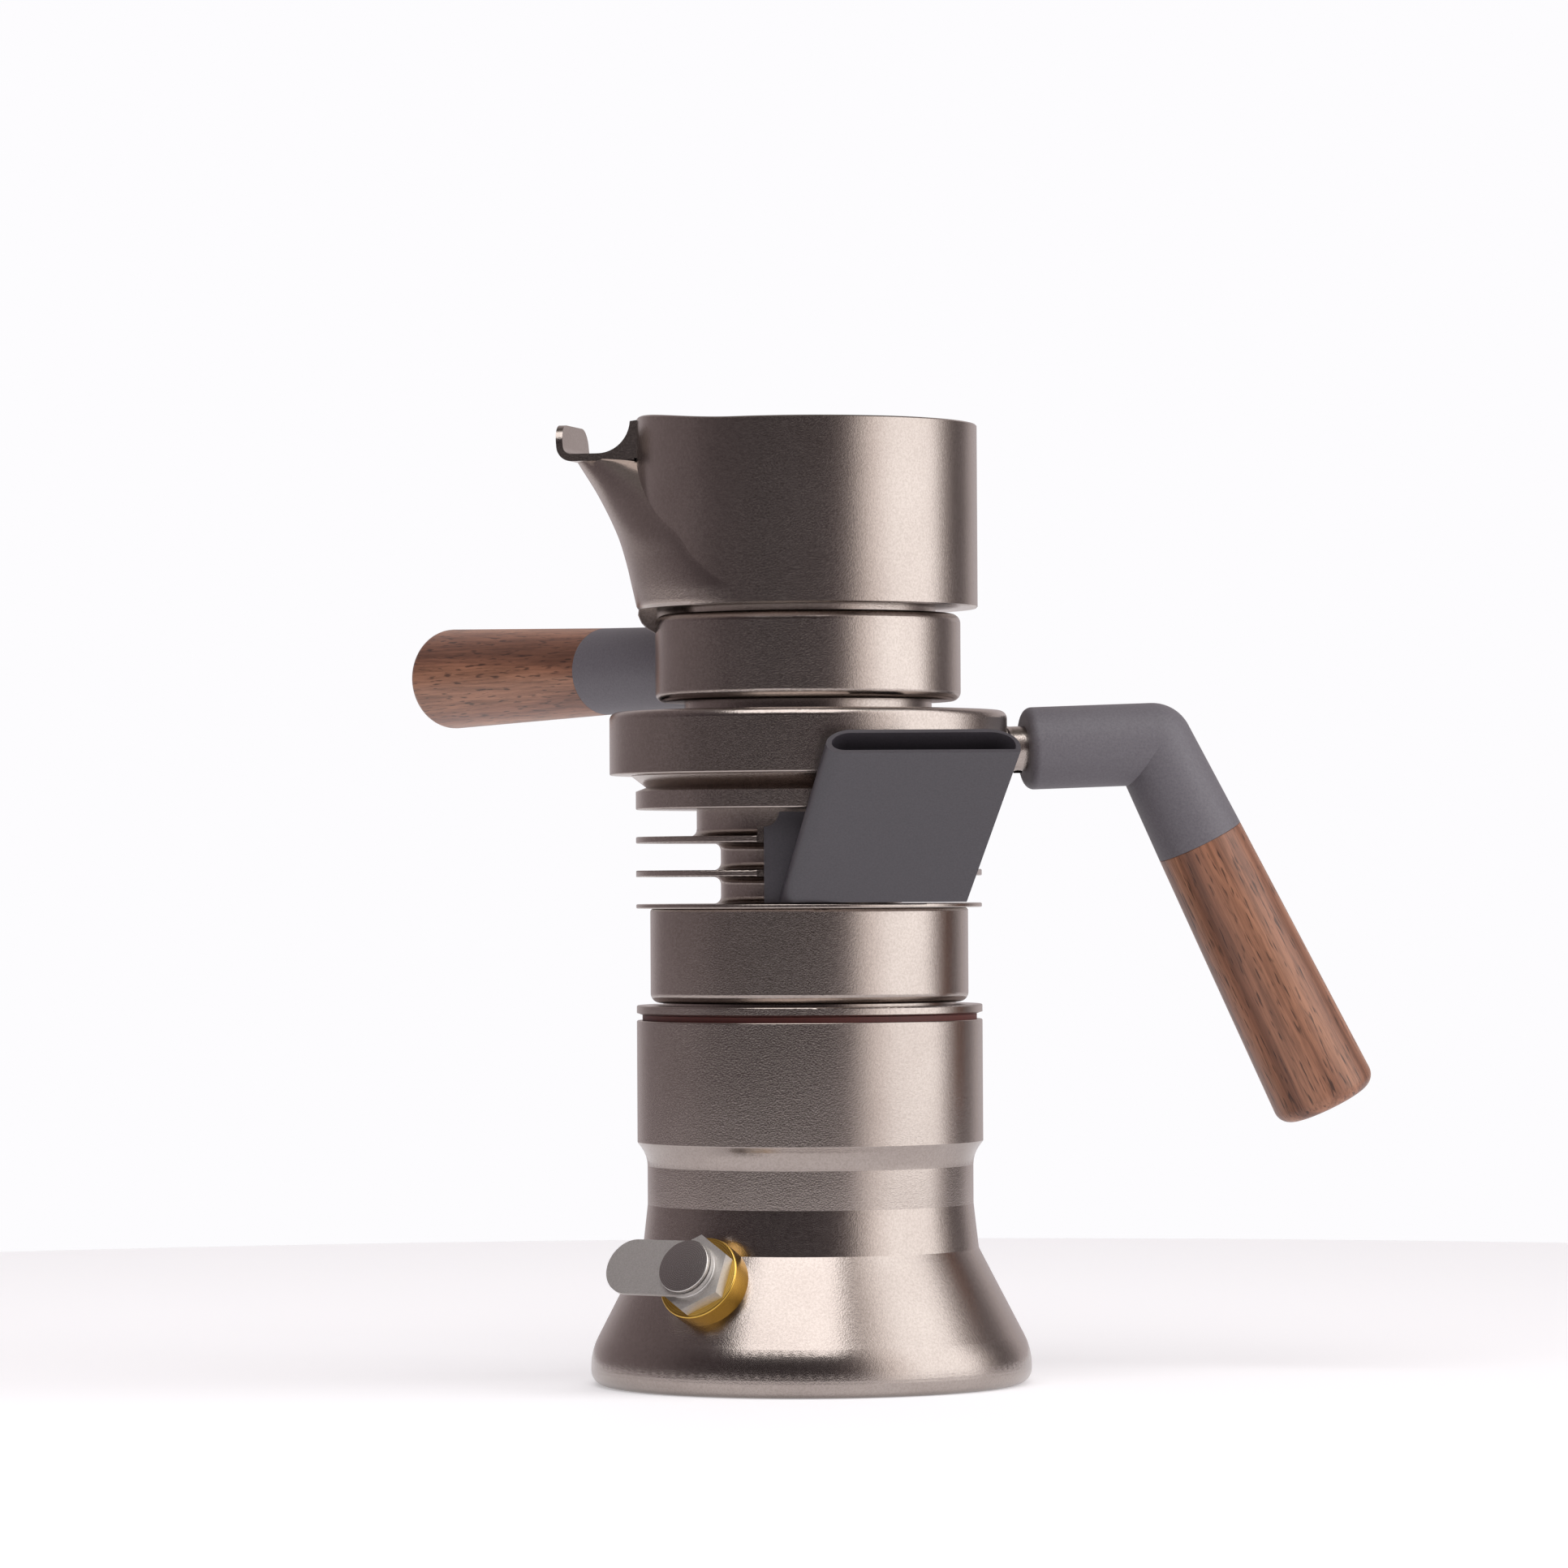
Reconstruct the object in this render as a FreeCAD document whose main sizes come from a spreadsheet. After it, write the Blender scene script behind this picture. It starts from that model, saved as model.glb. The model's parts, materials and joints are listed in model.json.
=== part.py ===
"""Twin-boiler stove-top espresso maker, in millimetres.

The pot's axis is Z, with the underside of the base at zero.  The elbow handle points along +X.
"""
import FreeCAD, Part
import math
import os
import re

import Sketcher

App = FreeCAD
UP = App.Vector(0, 0, 1)

SIZES = {
    # Directions round the pot's axis, in degrees
    "stack_azimuth": -11.0,        # turns the funnel's side away from -Y
    "spout_azimuth": 154.0,
    "jug_handle_azimuth": 116.0,
    "valve_azimuth": 225.5,
    # Lower boiler
    "base_radius": 50.7,
    "base_edge_round": 3.3,
    "base_shoulder_height": 7.7,
    "base_shoulder_round": 15.0,
    "flank_angle": 27.3,
    "crease_height": 31.0,
    "neck_radius": 37.5,
    "neck_start_height": 41.3,
    "neck_cove_height": 52.5,
    "neck_cove_round": 7.0,
    "body_radius": 39.8,
    "cylinder_height": 55.6,
    "boiler_height": 83.6,
    "boiler_floor": 4.0,
    "boiler_wall": 3.2,
    "bore_wall": 4.3,
    "bore_depth": 14.0,
    "edge_break": 0.35,
    "thread_clearance": 0.3,
    # Safety valve, along its own axis from the boiler's flank
    "valve_seat_height": 24.5,
    "valve_recess": 1.1,
    "valve_bush_radius": 9.9,
    "valve_bush_height": 4.5,
    "valve_shank_radius": 6.0,
    "valve_shank_depth": 4.6,
    "valve_bore_radius": 3.5,
    "valve_orifice_radius": 2.0,
    "valve_seat_thickness": 0.8,
    "valve_hex_flats": 16.0,
    "valve_hex_thickness": 3.0,
    "valve_collar_radius": 6.6,
    "valve_collar_thickness": 1.0,
    "valve_plug_depth": 3.5,
    "valve_pin_radius": 1.9,
    "valve_poppet_radius": 3.1,
    "valve_poppet_thickness": 1.2,
    "valve_gap": 0.2,
    "valve_tab_thickness": 1.0,
    "valve_tab_radius": 6.65,
    "valve_tab_reach": 21.8,
    "valve_disc_radius": 6.35,
    "valve_disc_thickness": 1.1,
    "valve_spring_radius": 2.65,
    "valve_spring_wire": 0.25,
    "valve_spring_turns": 3.5,
    # Gasket and boiler head
    "gasket_thickness": 1.2,
    "gasket_inset": 1.3,
    "flange_thickness": 2.25,
    "flange_chamfer": 1.5,
    "flange_chamfer_height": 0.5,
    "head_groove_depth": 6.1,
    "head_groove_height": 0.55,
    "head_plate": 4.8,
    "spigot_depth": 12.8,
    "spigot_wall": 3.2,
    "pickup_radius": 2.5,
    "pickup_bore_radius": 1.7,
    "pickup_offset": 21.0,
    "pickup_floor_gap": 3.0,
    "pickup_rise": 7.0,
    # Pressure regulator in the boiler head
    "regulator_radius": 6.0,
    "regulator_below": 4.0,
    "regulator_above": 4.4,
    "regulator_floor": 3.0,
    "regulator_orifice_radius": 1.5,
    "regulator_bore_radius": 4.3,
    "regulator_cap_thickness": 2.5,
    "poppet_clearance": 0.3,
    "poppet_thickness": 3.5,
    "poppet_stem_radius": 1.2,
    "regulator_spring_radius": 2.7,
    "regulator_spring_wire": 0.4,
    "regulator_spring_turns": 5.0,
    # Second boiler and the heat exchanger inside it
    "shell_radius": 36.6,
    "shell_height": 21.7,
    "shell_wall": 2.6,
    "shell_floor": 2.0,
    "shell_foot_round": 2.2,
    "shell_top_round": 0.8,
    "exchanger_ring_radius": 26.0,
    "exchanger_tube_radius": 2.2,
    "exchanger_tube_wall": 0.8,
    "exchanger_sweep": 320.0,
    "exchanger_rise": 9.0,
    # Heat sink
    "low_plate": 1.0,
    "fin_thickness": 1.5,
    "fin_gap": 6.23,
    "fin_root_round": 1.8,
    "fin_edge_round": 0.3,
    "column_radius": 20.3,
    "upper_column_radius": 25.8,
    "sink_bore_radius": 3.0,
    "notch_left": 11.7,
    "notch_corner": 13.0,
    "notch_gap": 1.3,
    "notch_back": 20.9,
    # Screws
    "clamp_circle_radius": 15.0,
    "clamp_bolt_radius": 2.0,
    "clamp_head_radius": 3.5,
    "clamp_head_height": 2.6,
    "clamp_depth": 4.5,
    "group_circle_radius": 18.0,
    "group_screw_depth": 6.0,
    # Group head and its collar
    "disc_height": 4.2,
    "waist_radius": 37.4,
    "waist_height": 5.1,
    "cone_radius": 40.8,
    "cone_height": 7.75,
    "collar_start": 7.95,
    "collar_radius": 45.8,
    "collar_height": 14.55,
    "collar_top_round": 1.9,
    "cup_floor": 8.0,
    "recess_radius": 24.0,
    "recess_depth": 1.5,
    "seat_radius": 37.0,
    "seat_height": 4.5,
    "cup_radius": 41.2,
    "lip_radius": 36.1,
    "lip_thickness": 3.3,
    "slot_half_angle": 13.0,
    "lug_half_angle": 10.0,
    "lug_thickness": 3.2,
    "lug_gap": 0.4,
    "lug_end_gap": 0.9,
    # Coffee chamber
    "group_gasket_thickness": 3.0,
    "group_gasket_radius": 36.0,
    "screen_radius": 29.0,
    "screen_thickness": 0.8,
    "screen_hole_radius": 0.8,
    "screen_hole_spacing": 6.0,
    "basket_radius": 29.0,
    "basket_wall": 0.5,
    "basket_height": 10.6,
    "plug_clearance": 0.5,
    # Neck under the jug
    "neck_groove_depth": 6.7,
    "neck_groove_height": 2.2,
    "jug_neck_radius": 35.2,
    "jug_neck_height": 20.1,
    "jug_neck_round": 2.2,
    "jug_neck_wall": 4.2,
    "jug_neck_plate": 2.6,
    "chamber_roof": 1.7,
    "throat_inset": 5.7,
    "throat_height": 1.3,
    "outlet_radius": 5.0,
    # Jug
    "jug_radius": 39.2,
    "jug_height": 42.2,
    "jug_wall": 1.9,
    "jug_floor": 2.0,
    "beak_half_width": 10.5,
    "beak_floor_height": 34.7,
    "beak_floor_top": 36.4,
    "beak_tip": 57.8,
    "beak_tip_height": 43.3,
    "beak_foot": 56.0,
    "beak_plate": 1.5,
    "cheek_height": 44.2,
    "cheek_top_reach": 38.7,
    "cheek_foot_reach": 44.8,
    "cheek_wall": 2.0,
    "cheek_round": 14.0,
    "spout_1_height": 5.0,
    "spout_1_centre": 0.9,
    "spout_1_radius": 37.9,
    "spout_2_height": 17.5,
    "spout_2_centre": 10.1,
    "spout_2_radius": 34.1,
    "spout_3_height": 26.5,
    "spout_3_centre": 26.8,
    "spout_3_radius": 22.3,
    "spout_4_height": 35.2,
    "spout_4_centre": 44.5,
    "spout_4_radius": 10.5,
    "jug_lug_half_angle": 22.0,
    "jug_lug_drop": 5.7,
    "jug_lug_reach": 4.2,
    "jug_lug_edge": 1.0,
    "jug_lug_cove": 8.0,
    "riser_height": 28.0,
    "riser_bore_radius": 3.2,
    "riser_port_radius": 1.3,
    "riser_port_drop": 5.0,
    "jug_seal_radius": 9.5,
    "jug_seal_thickness": 1.2,
    "riser_nut_flats": 18.0,
    "riser_nut_thickness": 4.0,
    "riser_cap_radius": 9.0,
    "riser_cap_skirt": 3.0,
    "riser_cap_height": 6.0,
    "riser_cap_round": 1.0,
    # Handles
    "handle_centre": 13.7,
    "handle_rise_angle": 2.0,
    "boss_radius": 5.25,
    "boss_flare": 2.0,
    "boss_length": 5.2,
    "tenon_radius": 3.0,
    "tenon_length": 12.0,
    "ferrule_radius": 9.55,
    "ferrule_round": 2.0,
    "elbow_reach": 81.5,
    "elbow_angle": 26.5,
    "elbow_leg": 25.3,
    "joint_radius": 10.4,
    "grip_length": 68.7,
    "grip_end_radius": 12.35,
    "grip_end_round": 3.5,
    "rod_radius": 2.5,
    "rod_in_ferrule": 12.0,
    "rod_in_grip": 45.0,
    "grub_radius": 1.0,
    "grub_length": 4.5,
    "grub_back": 1.6,
    "jug_handle_drop": 12.1,
    "jug_boss_length": 4.8,
    "jug_handle_reach": 79.9,
    # Water funnel, in the stack's own directions: +X to the right, -Y outwards
    "funnel_left": 7.1,
    "funnel_width": 42.5,
    "funnel_depth": 9.7,
    "funnel_inset": 0.8,
    "funnel_start": 0.3,
    "funnel_top": 42.0,
    "funnel_side_lean": 17.0,
    "funnel_out_lean": 33.0,
    "funnel_growth": 1.8,
    "funnel_wall": 1.3,
    "funnel_floor": 1.4,
    "funnel_rim_front": 33.1,
    "funnel_rim_back": 38.4,
    "funnel_rim_span": 6.2,
    "block_left": 10.1,
    "block_width": 21.1,
    "block_back": 26.4,
    "block_inset": 4.6,
    "block_height": 20.8,
    "block_round": 3.4,
    "inlet_radius": 4.0,
    "inlet_bore_radius": 2.6,
    "inlet_height": 10.5,
    "inlet_depth": 5.0,
    "inlet_seal_radius": 6.4,
}

# Heights and radii that several pieces share
BORE = "(body_radius - bore_wall)"
SPIGOT = f"({BORE} - thread_clearance)"
FLANGE_Z = "(boiler_height + gasket_thickness)"
SHELL_Z = f"({FLANGE_Z} + flange_thickness + head_groove_height)"
SINK_Z = f"({SHELL_Z} + shell_height)"
FIN_2_Z = f"({SINK_Z} + low_plate + fin_gap)"
FIN_1_Z = f"({FIN_2_Z} + fin_thickness + fin_gap)"
GROUP_Z = f"({FIN_1_Z} + fin_thickness + fin_gap)"
CUP_Z = f"({GROUP_Z} + cup_floor)"
COLLAR_Z = f"({GROUP_Z} + collar_start + collar_height)"
LIP_Z = f"({COLLAR_Z} - lip_thickness)"
SEAL_Z = f"({CUP_Z} + group_gasket_thickness)"
PLUG = "(lip_radius - plug_clearance)"
CHAMBER = "(basket_radius + plug_clearance)"
FUNNEL_FRONT = "(body_radius - funnel_inset)"
NOTCH_FLOOR = f"({FUNNEL_FRONT} - funnel_depth - notch_gap)"
CHAMBER_Z = f"({COLLAR_Z} - chamber_roof)"
NECK_Z = f"({COLLAR_Z} + neck_groove_height)"
THROAT_Z = f"({NECK_Z} + jug_neck_height)"
JUG_Z = f"({THROAT_Z} + throat_height)"
NUT_Z = f"({JUG_Z} + jug_floor + jug_seal_thickness)"
RISER_Z = f"({JUG_Z} + riser_height)"

# Spout of the jug: height above the jug's underside, centre's distance from the axis, radius
SPOUT_RINGS = [(f"spout_{n}_height", f"spout_{n}_centre", f"spout_{n}_radius") for n in range(1, 5)]

# A half circle is drawn a hair flatter, because its radius must be more than half its chord
HALF_ROUND = "1.0005 * {}"

WORD = re.compile(r"[a-z][a-z_0-9]*")

doc = App.newDocument("espresso_maker")
sheet = doc.addObject("Spreadsheet::Sheet", "Sizes")
for row, (word, number) in enumerate(SIZES.items(), start=1):
    sheet.set(f"A{row}", word)
    sheet.set(f"B{row}", str(number))
    sheet.setAlias(f"B{row}", word)
doc.recompute()

pieces = []


def bound(text):
    """The expression with each named size pointing at its cell."""
    return WORD.sub(lambda m: "Sizes." + m.group() if m.group() in SIZES else m.group(), str(text))


def value(text):
    """The number an expression comes to."""
    return float(sheet.evalExpression(bound(text)))


def tie(item, prop, text):
    """Bind a property to an expression over the sheet."""
    item.setExpression(prop, bound(text))


def keep(item, node):
    """Count an object as a finished sub-part."""
    item.Label = node
    pieces.append(item)
    return item


def spun(angle):
    """Placement turned about the pot's axis."""
    return App.Placement(App.Vector(), App.Rotation(UP, value(angle)))


def aimed(radius, azimuth, height, elevation="0"):
    """Placement at a point round the pot whose own +Z looks outwards and up by the elevation."""
    turn = App.Rotation(UP, value(azimuth))
    tip = App.Rotation(App.Vector(0, 1, 0), 90 - value(elevation))
    spot = turn.multVec(App.Vector(value(radius), 0, value(height)))
    return App.Placement(spot, turn.multiply(tip))


def new_body(name, place=None):
    """An empty PartDesign body, placed where its own axes should be."""
    body = doc.addObject("PartDesign::Body", name)
    if place:
        body.Placement = place
    return body


def arc_between(start, finish, radius):
    """Arc of the given radius; a positive one bows to the right of the way from start to finish."""
    chord = finish - start
    side = App.Vector(chord.y, -chord.x, 0).normalize() * math.copysign(1, radius)
    half = chord.Length / 2
    rise = abs(radius) - math.sqrt(max(radius * radius - half * half, 0))
    return Part.Arc(start, (start + finish) * 0.5 + side * rise, finish)


def new_sketch(body, name, plane, lift="0"):
    """Empty sketch on one of the body's planes, lifted off it."""
    sketch = body.newObject("Sketcher::SketchObject", name)
    origin = [item for item in body.Origin.OriginFeatures if item.Role == plane][0]
    sketch.AttachmentSupport = (origin, [""])
    sketch.MapMode = "FlatFace"
    tie(sketch, "AttachmentOffset.Base.z", lift)
    return sketch


def outline(body, name, plane, corners, arcs=None, lift="0"):
    """Closed sketch through the corners; arcs gives the radius of a side by its first corner."""
    sketch = new_sketch(body, name, plane, lift)
    arcs = arcs or {}
    spots = [App.Vector(value(x), value(y), 0) for x, y in corners]
    ends = []
    for index, start in enumerate(spots):
        finish = spots[(index + 1) % len(spots)]
        if index in arcs:
            edge = arc_between(start, finish, value(arcs[index]))
        else:
            edge = Part.LineSegment(start, finish)
        sketch.addGeometry(edge)
        first = 1 if (sketch.getPoint(index, 1) - start).Length < 1e-6 else 2
        ends.append((first, 3 - first))
    for index, (x, y) in enumerate(corners):
        after = (index + 1) % len(corners)
        sketch.addConstraint(Sketcher.Constraint("Coincident", index, ends[index][1], after, ends[after][0]))
        for kind, text, number in (("DistanceX", x, spots[index].x), ("DistanceY", y, spots[index].y)):
            rule = Sketcher.Constraint(kind, -1, 1, index, ends[index][0], number)
            tie(sketch, f"Constraints[{sketch.addConstraint(rule)}]", text)
    for index, text in arcs.items():
        rule = Sketcher.Constraint("Radius", index, abs(value(text)))
        tie(sketch, f"Constraints[{sketch.addConstraint(rule)}]", f"abs({text})")
    return sketch


def rings(body, name, plane, circles, lift="0"):
    """Sketch of circles, each given as x, y and radius."""
    sketch = new_sketch(body, name, plane, lift)
    for index, (x, y, radius) in enumerate(circles):
        centre = App.Vector(value(x), value(y), 0)
        sketch.addGeometry(Part.Circle(centre, UP, value(radius)))
        rules = (
            (Sketcher.Constraint("DistanceX", -1, 1, index, 3, centre.x), x),
            (Sketcher.Constraint("DistanceY", -1, 1, index, 3, centre.y), y),
            (Sketcher.Constraint("Radius", index, value(radius)), radius),
        )
        for rule, text in rules:
            tie(sketch, f"Constraints[{sketch.addConstraint(rule)}]", text)
    return sketch


def revolve(body, name, corners, arcs=None, angle=None):
    """Turn an outline of (radius, height) corners about the body's own Z."""
    sketch = outline(body, name + "_outline", "XZ_Plane", corners, arcs)
    turned = body.newObject("PartDesign::Revolution", name)
    turned.Profile = sketch
    turned.ReferenceAxis = (sketch, ["V_Axis"])
    turned.Angle = 360
    if angle:
        turned.Midplane = True
        tie(turned, "Angle", angle)
    doc.recompute()
    return turned


def pad(body, name, sketch, length, reverse=False, both=False):
    """Raise a sketch by a length, to one side or half of it to each."""
    raised = body.newObject("PartDesign::Pad", name)
    raised.Profile = sketch
    raised.Reversed = reverse
    raised.Midplane = both
    tie(raised, "Length", length)
    doc.recompute()
    return raised


def pocket(body, name, sketch, length=None, reverse=False, both=False):
    """Cut a sketch into the body: to a length, or right through both ways when none is given."""
    before = body.Shape.Volume
    sunk = body.newObject("PartDesign::Pocket", name)
    sunk.Profile = sketch
    if length:
        sunk.Reversed = reverse
        sunk.Midplane = both
        tie(sunk, "Length", length)
    else:
        sunk.Type = "ThroughAll"
        sunk.Midplane = True
    doc.recompute()
    if body.Shape.Volume > before - 1e-3:
        raise RuntimeError(f"{name} cuts nothing")
    return sunk


def polar(body, name, feature, sketch, count):
    """Equal copies of a feature round the sketch's normal."""
    copies = body.newObject("PartDesign::PolarPattern", name)
    copies.Originals = [feature]
    copies.Axis = (sketch, ["N_Axis"])
    copies.Angle = 360
    copies.Occurrences = count
    body.Tip = copies
    doc.recompute()
    return copies


def soften(body, name, spots, radius):
    """Fillet the turned edges that pass through the given (radius, height) spots."""
    wanted = [(value(x), value(z)) for x, z in spots]
    names = []
    base = body.Tip
    for index, edge in enumerate(base.Shape.Edges, start=1):
        if not isinstance(edge.Curve, Part.Circle):
            continue
        centre = edge.Curve.Center
        on_axis = math.hypot(centre.x, centre.y) < 1e-4
        near = any(abs(edge.Curve.Radius - x) + abs(centre.z - z) < 1e-3 for x, z in wanted)
        if on_axis and near:
            names.append(f"Edge{index}")
    rounded = body.newObject("PartDesign::Fillet", name)
    rounded.Base = (base, names)
    tie(rounded, "Radius", radius)
    doc.recompute()
    return rounded


def sector(body, name, inner, outer, half_angle, lift):
    """Piece of a ring about the body's X direction."""
    corners = (
        (f"({inner}) * cos({half_angle})", f"-({inner}) * sin({half_angle})"),
        (f"({outer}) * cos({half_angle})", f"-({outer}) * sin({half_angle})"),
        (f"({outer}) * cos({half_angle})", f"({outer}) * sin({half_angle})"),
        (f"({inner}) * cos({half_angle})", f"({inner}) * sin({half_angle})"),
    )
    return outline(body, name, "XY_Plane", corners, {1: outer}, lift)


def turned_piece(node, corners, place=None, rounds=(), arcs=None):
    """A sub-part that is a turned shape with some of its edges rounded."""
    body = new_body(node + "_body", place)
    revolve(body, node + "_turned", corners, arcs)
    for index, (spots, radius) in enumerate(rounds):
        soften(body, f"{node}_round_{index}", spots, radius)
    return keep(body, node)


def block(kind, name, sizes, place):
    """A Part primitive with its sizes bound to the sheet."""
    item = doc.addObject("Part::" + kind, name)
    for prop, text in sizes.items():
        tie(item, prop, text)
    item.Placement = place
    return item


def joined(kind, name, first, *others):
    """Part::Cut or Part::MultiFuse of some objects."""
    if kind == "Cut":
        item = doc.addObject("Part::Cut", name)
        item.Base = first
        item.Tool = others[0]
    else:
        item = doc.addObject("Part::MultiFuse", name)
        item.Shapes = [first, *others]
    doc.recompute()
    return item


def coil_spring(node, radius, wire, turns, length, place):
    """Helical spring standing on its placement's XY plane, with its wire inside the length."""
    span = value(length) - 2 * value(wire)
    helix = Part.makeHelix(span / value(turns), span, value(radius))
    start = App.Vector(value(radius), 0, 0)
    section = Part.Wire(Part.Circle(start, App.Vector(0, 1, 0), value(wire)).toShape())
    item = doc.addObject("Part::Feature", node)
    item.Shape = Part.Wire(helix.Edges).makePipeShell([section], True, True)
    item.Placement = place.multiply(App.Placement(UP * value(wire), App.Rotation()))
    return keep(item, node)


def hole_rows(radius, spacing, hole, rows):
    """Rings of holes round a centre hole, as x, y and radius of each."""
    circles = [("0", "0", hole)]
    for ring in range(1, rows + 1):
        for step in range(6 * ring):
            angle = step * 60.0 / ring
            circles.append((f"{ring} * {spacing} * cos({angle})", f"{ring} * {spacing} * sin({angle})", hole))
    return circles


def around(radius, count, hole, start=45.0):
    """Equal holes on a circle."""
    angles = [start + 360.0 / count * step for step in range(count)]
    return [(f"{radius} * cos({angle})", f"{radius} * sin({angle})", hole) for angle in angles]


stack = spun("stack_azimuth")
VALVE_R = "(base_radius - (valve_seat_height - base_shoulder_height) * tan(flank_angle))"
valve_place = aimed(VALVE_R, "valve_azimuth", "valve_seat_height", "flank_angle")


def lower_boiler():
    """Lower boiler with its spot face and hole for the safety valve."""
    crease = "(base_radius - (crease_height - base_shoulder_height) * tan(flank_angle))"
    corners = (
        ("0", "0"),
        ("base_radius", "0"),
        ("base_radius", "base_shoulder_height"),
        (crease, "crease_height"),
        ("neck_radius", "neck_start_height"),
        ("neck_radius", "neck_cove_height"),
        ("body_radius", "cylinder_height"),
        ("body_radius", "boiler_height"),
        (BORE, "boiler_height"),
        (BORE, "boiler_height - bore_depth"),
        ("neck_radius - boiler_wall", "boiler_height - bore_depth"),
        ("neck_radius - boiler_wall", "neck_start_height"),
        (f"{crease} - boiler_wall", "crease_height"),
        ("base_radius - boiler_wall", "base_shoulder_height"),
        ("base_radius - boiler_wall", "boiler_floor"),
        ("0", "boiler_floor"),
    )
    blank = new_body("boiler_blank")
    revolve(blank, "boiler_turned", corners)
    soften(blank, "boiler_shoulder", [("base_radius", "base_shoulder_height")], "base_shoulder_round")
    soften(blank, "boiler_foot", [("base_radius", "0")], "base_edge_round")
    soften(blank, "boiler_cove", [("neck_radius", "neck_cove_height")], "neck_cove_round")
    edges = [("body_radius", "cylinder_height"), ("body_radius", "boiler_height")]
    soften(blank, "boiler_edges", edges, "edge_break")
    spot_face = block(
        "Cylinder", "valve_spot_face",
        {"Radius": "valve_bush_radius", "Height": "valve_bush_height + valve_recess"},
        valve_place.multiply(App.Placement(UP * -value("valve_recess"), App.Rotation())),
    )
    shank_hole = block(
        "Cylinder", "valve_shank_hole",
        {"Radius": "valve_shank_radius", "Height": "2 * valve_shank_depth"},
        valve_place.multiply(App.Placement(UP * -value("2 * valve_shank_depth"), App.Rotation())),
    )
    cuts = joined("Fuse", "valve_cuts", spot_face, shank_hole)
    keep(joined("Cut", "boiler_cut", blank, cuts), "boiler_base")


def safety_valve():
    """Safety valve: bush, hex body, sprung stem and pull tab."""
    hex_z = "valve_bush_height"
    collar_z = f"({hex_z} + valve_hex_thickness)"
    collar_top = f"({collar_z} + valve_collar_thickness)"
    tab_z = f"({collar_top} + valve_gap)"
    disc_z = f"({tab_z} + valve_tab_thickness + valve_gap)"
    seat_z = "(valve_seat_thickness - valve_shank_depth)"
    turned_piece("valve_bush", (
        ("valve_orifice_radius", "-valve_shank_depth"),
        ("valve_shank_radius", "-valve_shank_depth"),
        ("valve_shank_radius", "-valve_recess"),
        ("valve_bush_radius", "-valve_recess"),
        ("valve_bush_radius", "valve_bush_height"),
        ("valve_bore_radius", "valve_bush_height"),
        ("valve_bore_radius", seat_z),
        ("valve_orifice_radius", seat_z),
    ), valve_place, [([("valve_bush_radius", "valve_bush_height")], "edge_break")])
    corner = "valve_hex_flats / 2 / cos(30)"
    body = new_body("valve_hex_blank", valve_place)
    bore = "(valve_pin_radius + poppet_clearance)"
    sides = [(f"{corner} * cos({60 * step})", f"{corner} * sin({60 * step})") for step in range(6)]
    hexagon = outline(body, "valve_hexagon", "XY_Plane", sides, lift=hex_z)
    pad(body, "valve_hex", hexagon, "valve_hex_thickness")
    collar = rings(body, "valve_collar_ring", "XY_Plane", [("0", "0", "valve_collar_radius")], collar_z)
    pad(body, "valve_collar", collar, "valve_collar_thickness")
    plug = rings(body, "valve_plug_ring", "XY_Plane", [("0", "0", "valve_bore_radius")], hex_z)
    pad(body, "valve_plug", plug, "valve_plug_depth", reverse=True)
    pocket(body, "valve_pin_hole", rings(body, "valve_pin_ring", "XY_Plane", [("0", "0", bore)]))
    soften(body, "valve_collar_edge", [("valve_collar_radius", collar_top)], "edge_break")
    keep(body, "valve_hex_body")
    poppet_top = f"({seat_z} + valve_poppet_thickness)"
    turned_piece("valve_stem", (
        ("0", seat_z),
        ("valve_poppet_radius", seat_z),
        ("valve_poppet_radius", poppet_top),
        ("valve_pin_radius", poppet_top),
        ("valve_pin_radius", disc_z),
        ("valve_disc_radius", disc_z),
        ("valve_disc_radius", f"{disc_z} + valve_disc_thickness"),
        ("0", f"{disc_z} + valve_disc_thickness"),
    ), valve_place, [([("valve_disc_radius", f"{disc_z} + valve_disc_thickness")], "edge_break")])
    tab = new_body("valve_tab_blank", valve_place)
    straight = "(valve_tab_radius - valve_tab_reach)"
    shape = outline(tab, "valve_tab_outline", "XY_Plane", (
        ("-valve_tab_radius", "0"),
        ("-valve_tab_radius", straight),
        ("valve_tab_radius", straight),
        ("valve_tab_radius", "0"),
    ), {1: HALF_ROUND.format("valve_tab_radius"), 3: HALF_ROUND.format("valve_tab_radius")}, tab_z)
    pad(tab, "valve_tab_plate", shape, "valve_tab_thickness")
    pocket(tab, "valve_tab_hole", rings(tab, "valve_tab_ring", "XY_Plane", [("0", "0", bore)]))
    keep(tab, "valve_tab")
    length = f"({hex_z} - valve_plug_depth - {poppet_top})"
    foot = valve_place.multiply(App.Placement(UP * value(poppet_top), App.Rotation()))
    coil_spring(
        "valve_spring", "valve_spring_radius", "valve_spring_wire", "valve_spring_turns", length, foot
    )


def boiler_gasket():
    """Ring that seals the lower boiler against the boiler head."""
    turned_piece("boiler_gasket", (
        (f"{BORE} + thread_clearance", "boiler_height"),
        ("body_radius - gasket_inset", "boiler_height"),
        ("body_radius - gasket_inset", FLANGE_Z),
        (f"{BORE} + thread_clearance", FLANGE_Z),
    ))


def stack_holes(body, name):
    """Holes for the pickup tube, the regulator and the four clamp bolts."""
    circles = [("0", "0", "regulator_radius"), ("pickup_offset", "0", "pickup_radius")]
    circles += around("clamp_circle_radius", 4, "clamp_bolt_radius")
    pocket(body, name + "_holes", rings(body, name + "_rings", "XY_Plane", circles))


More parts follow.
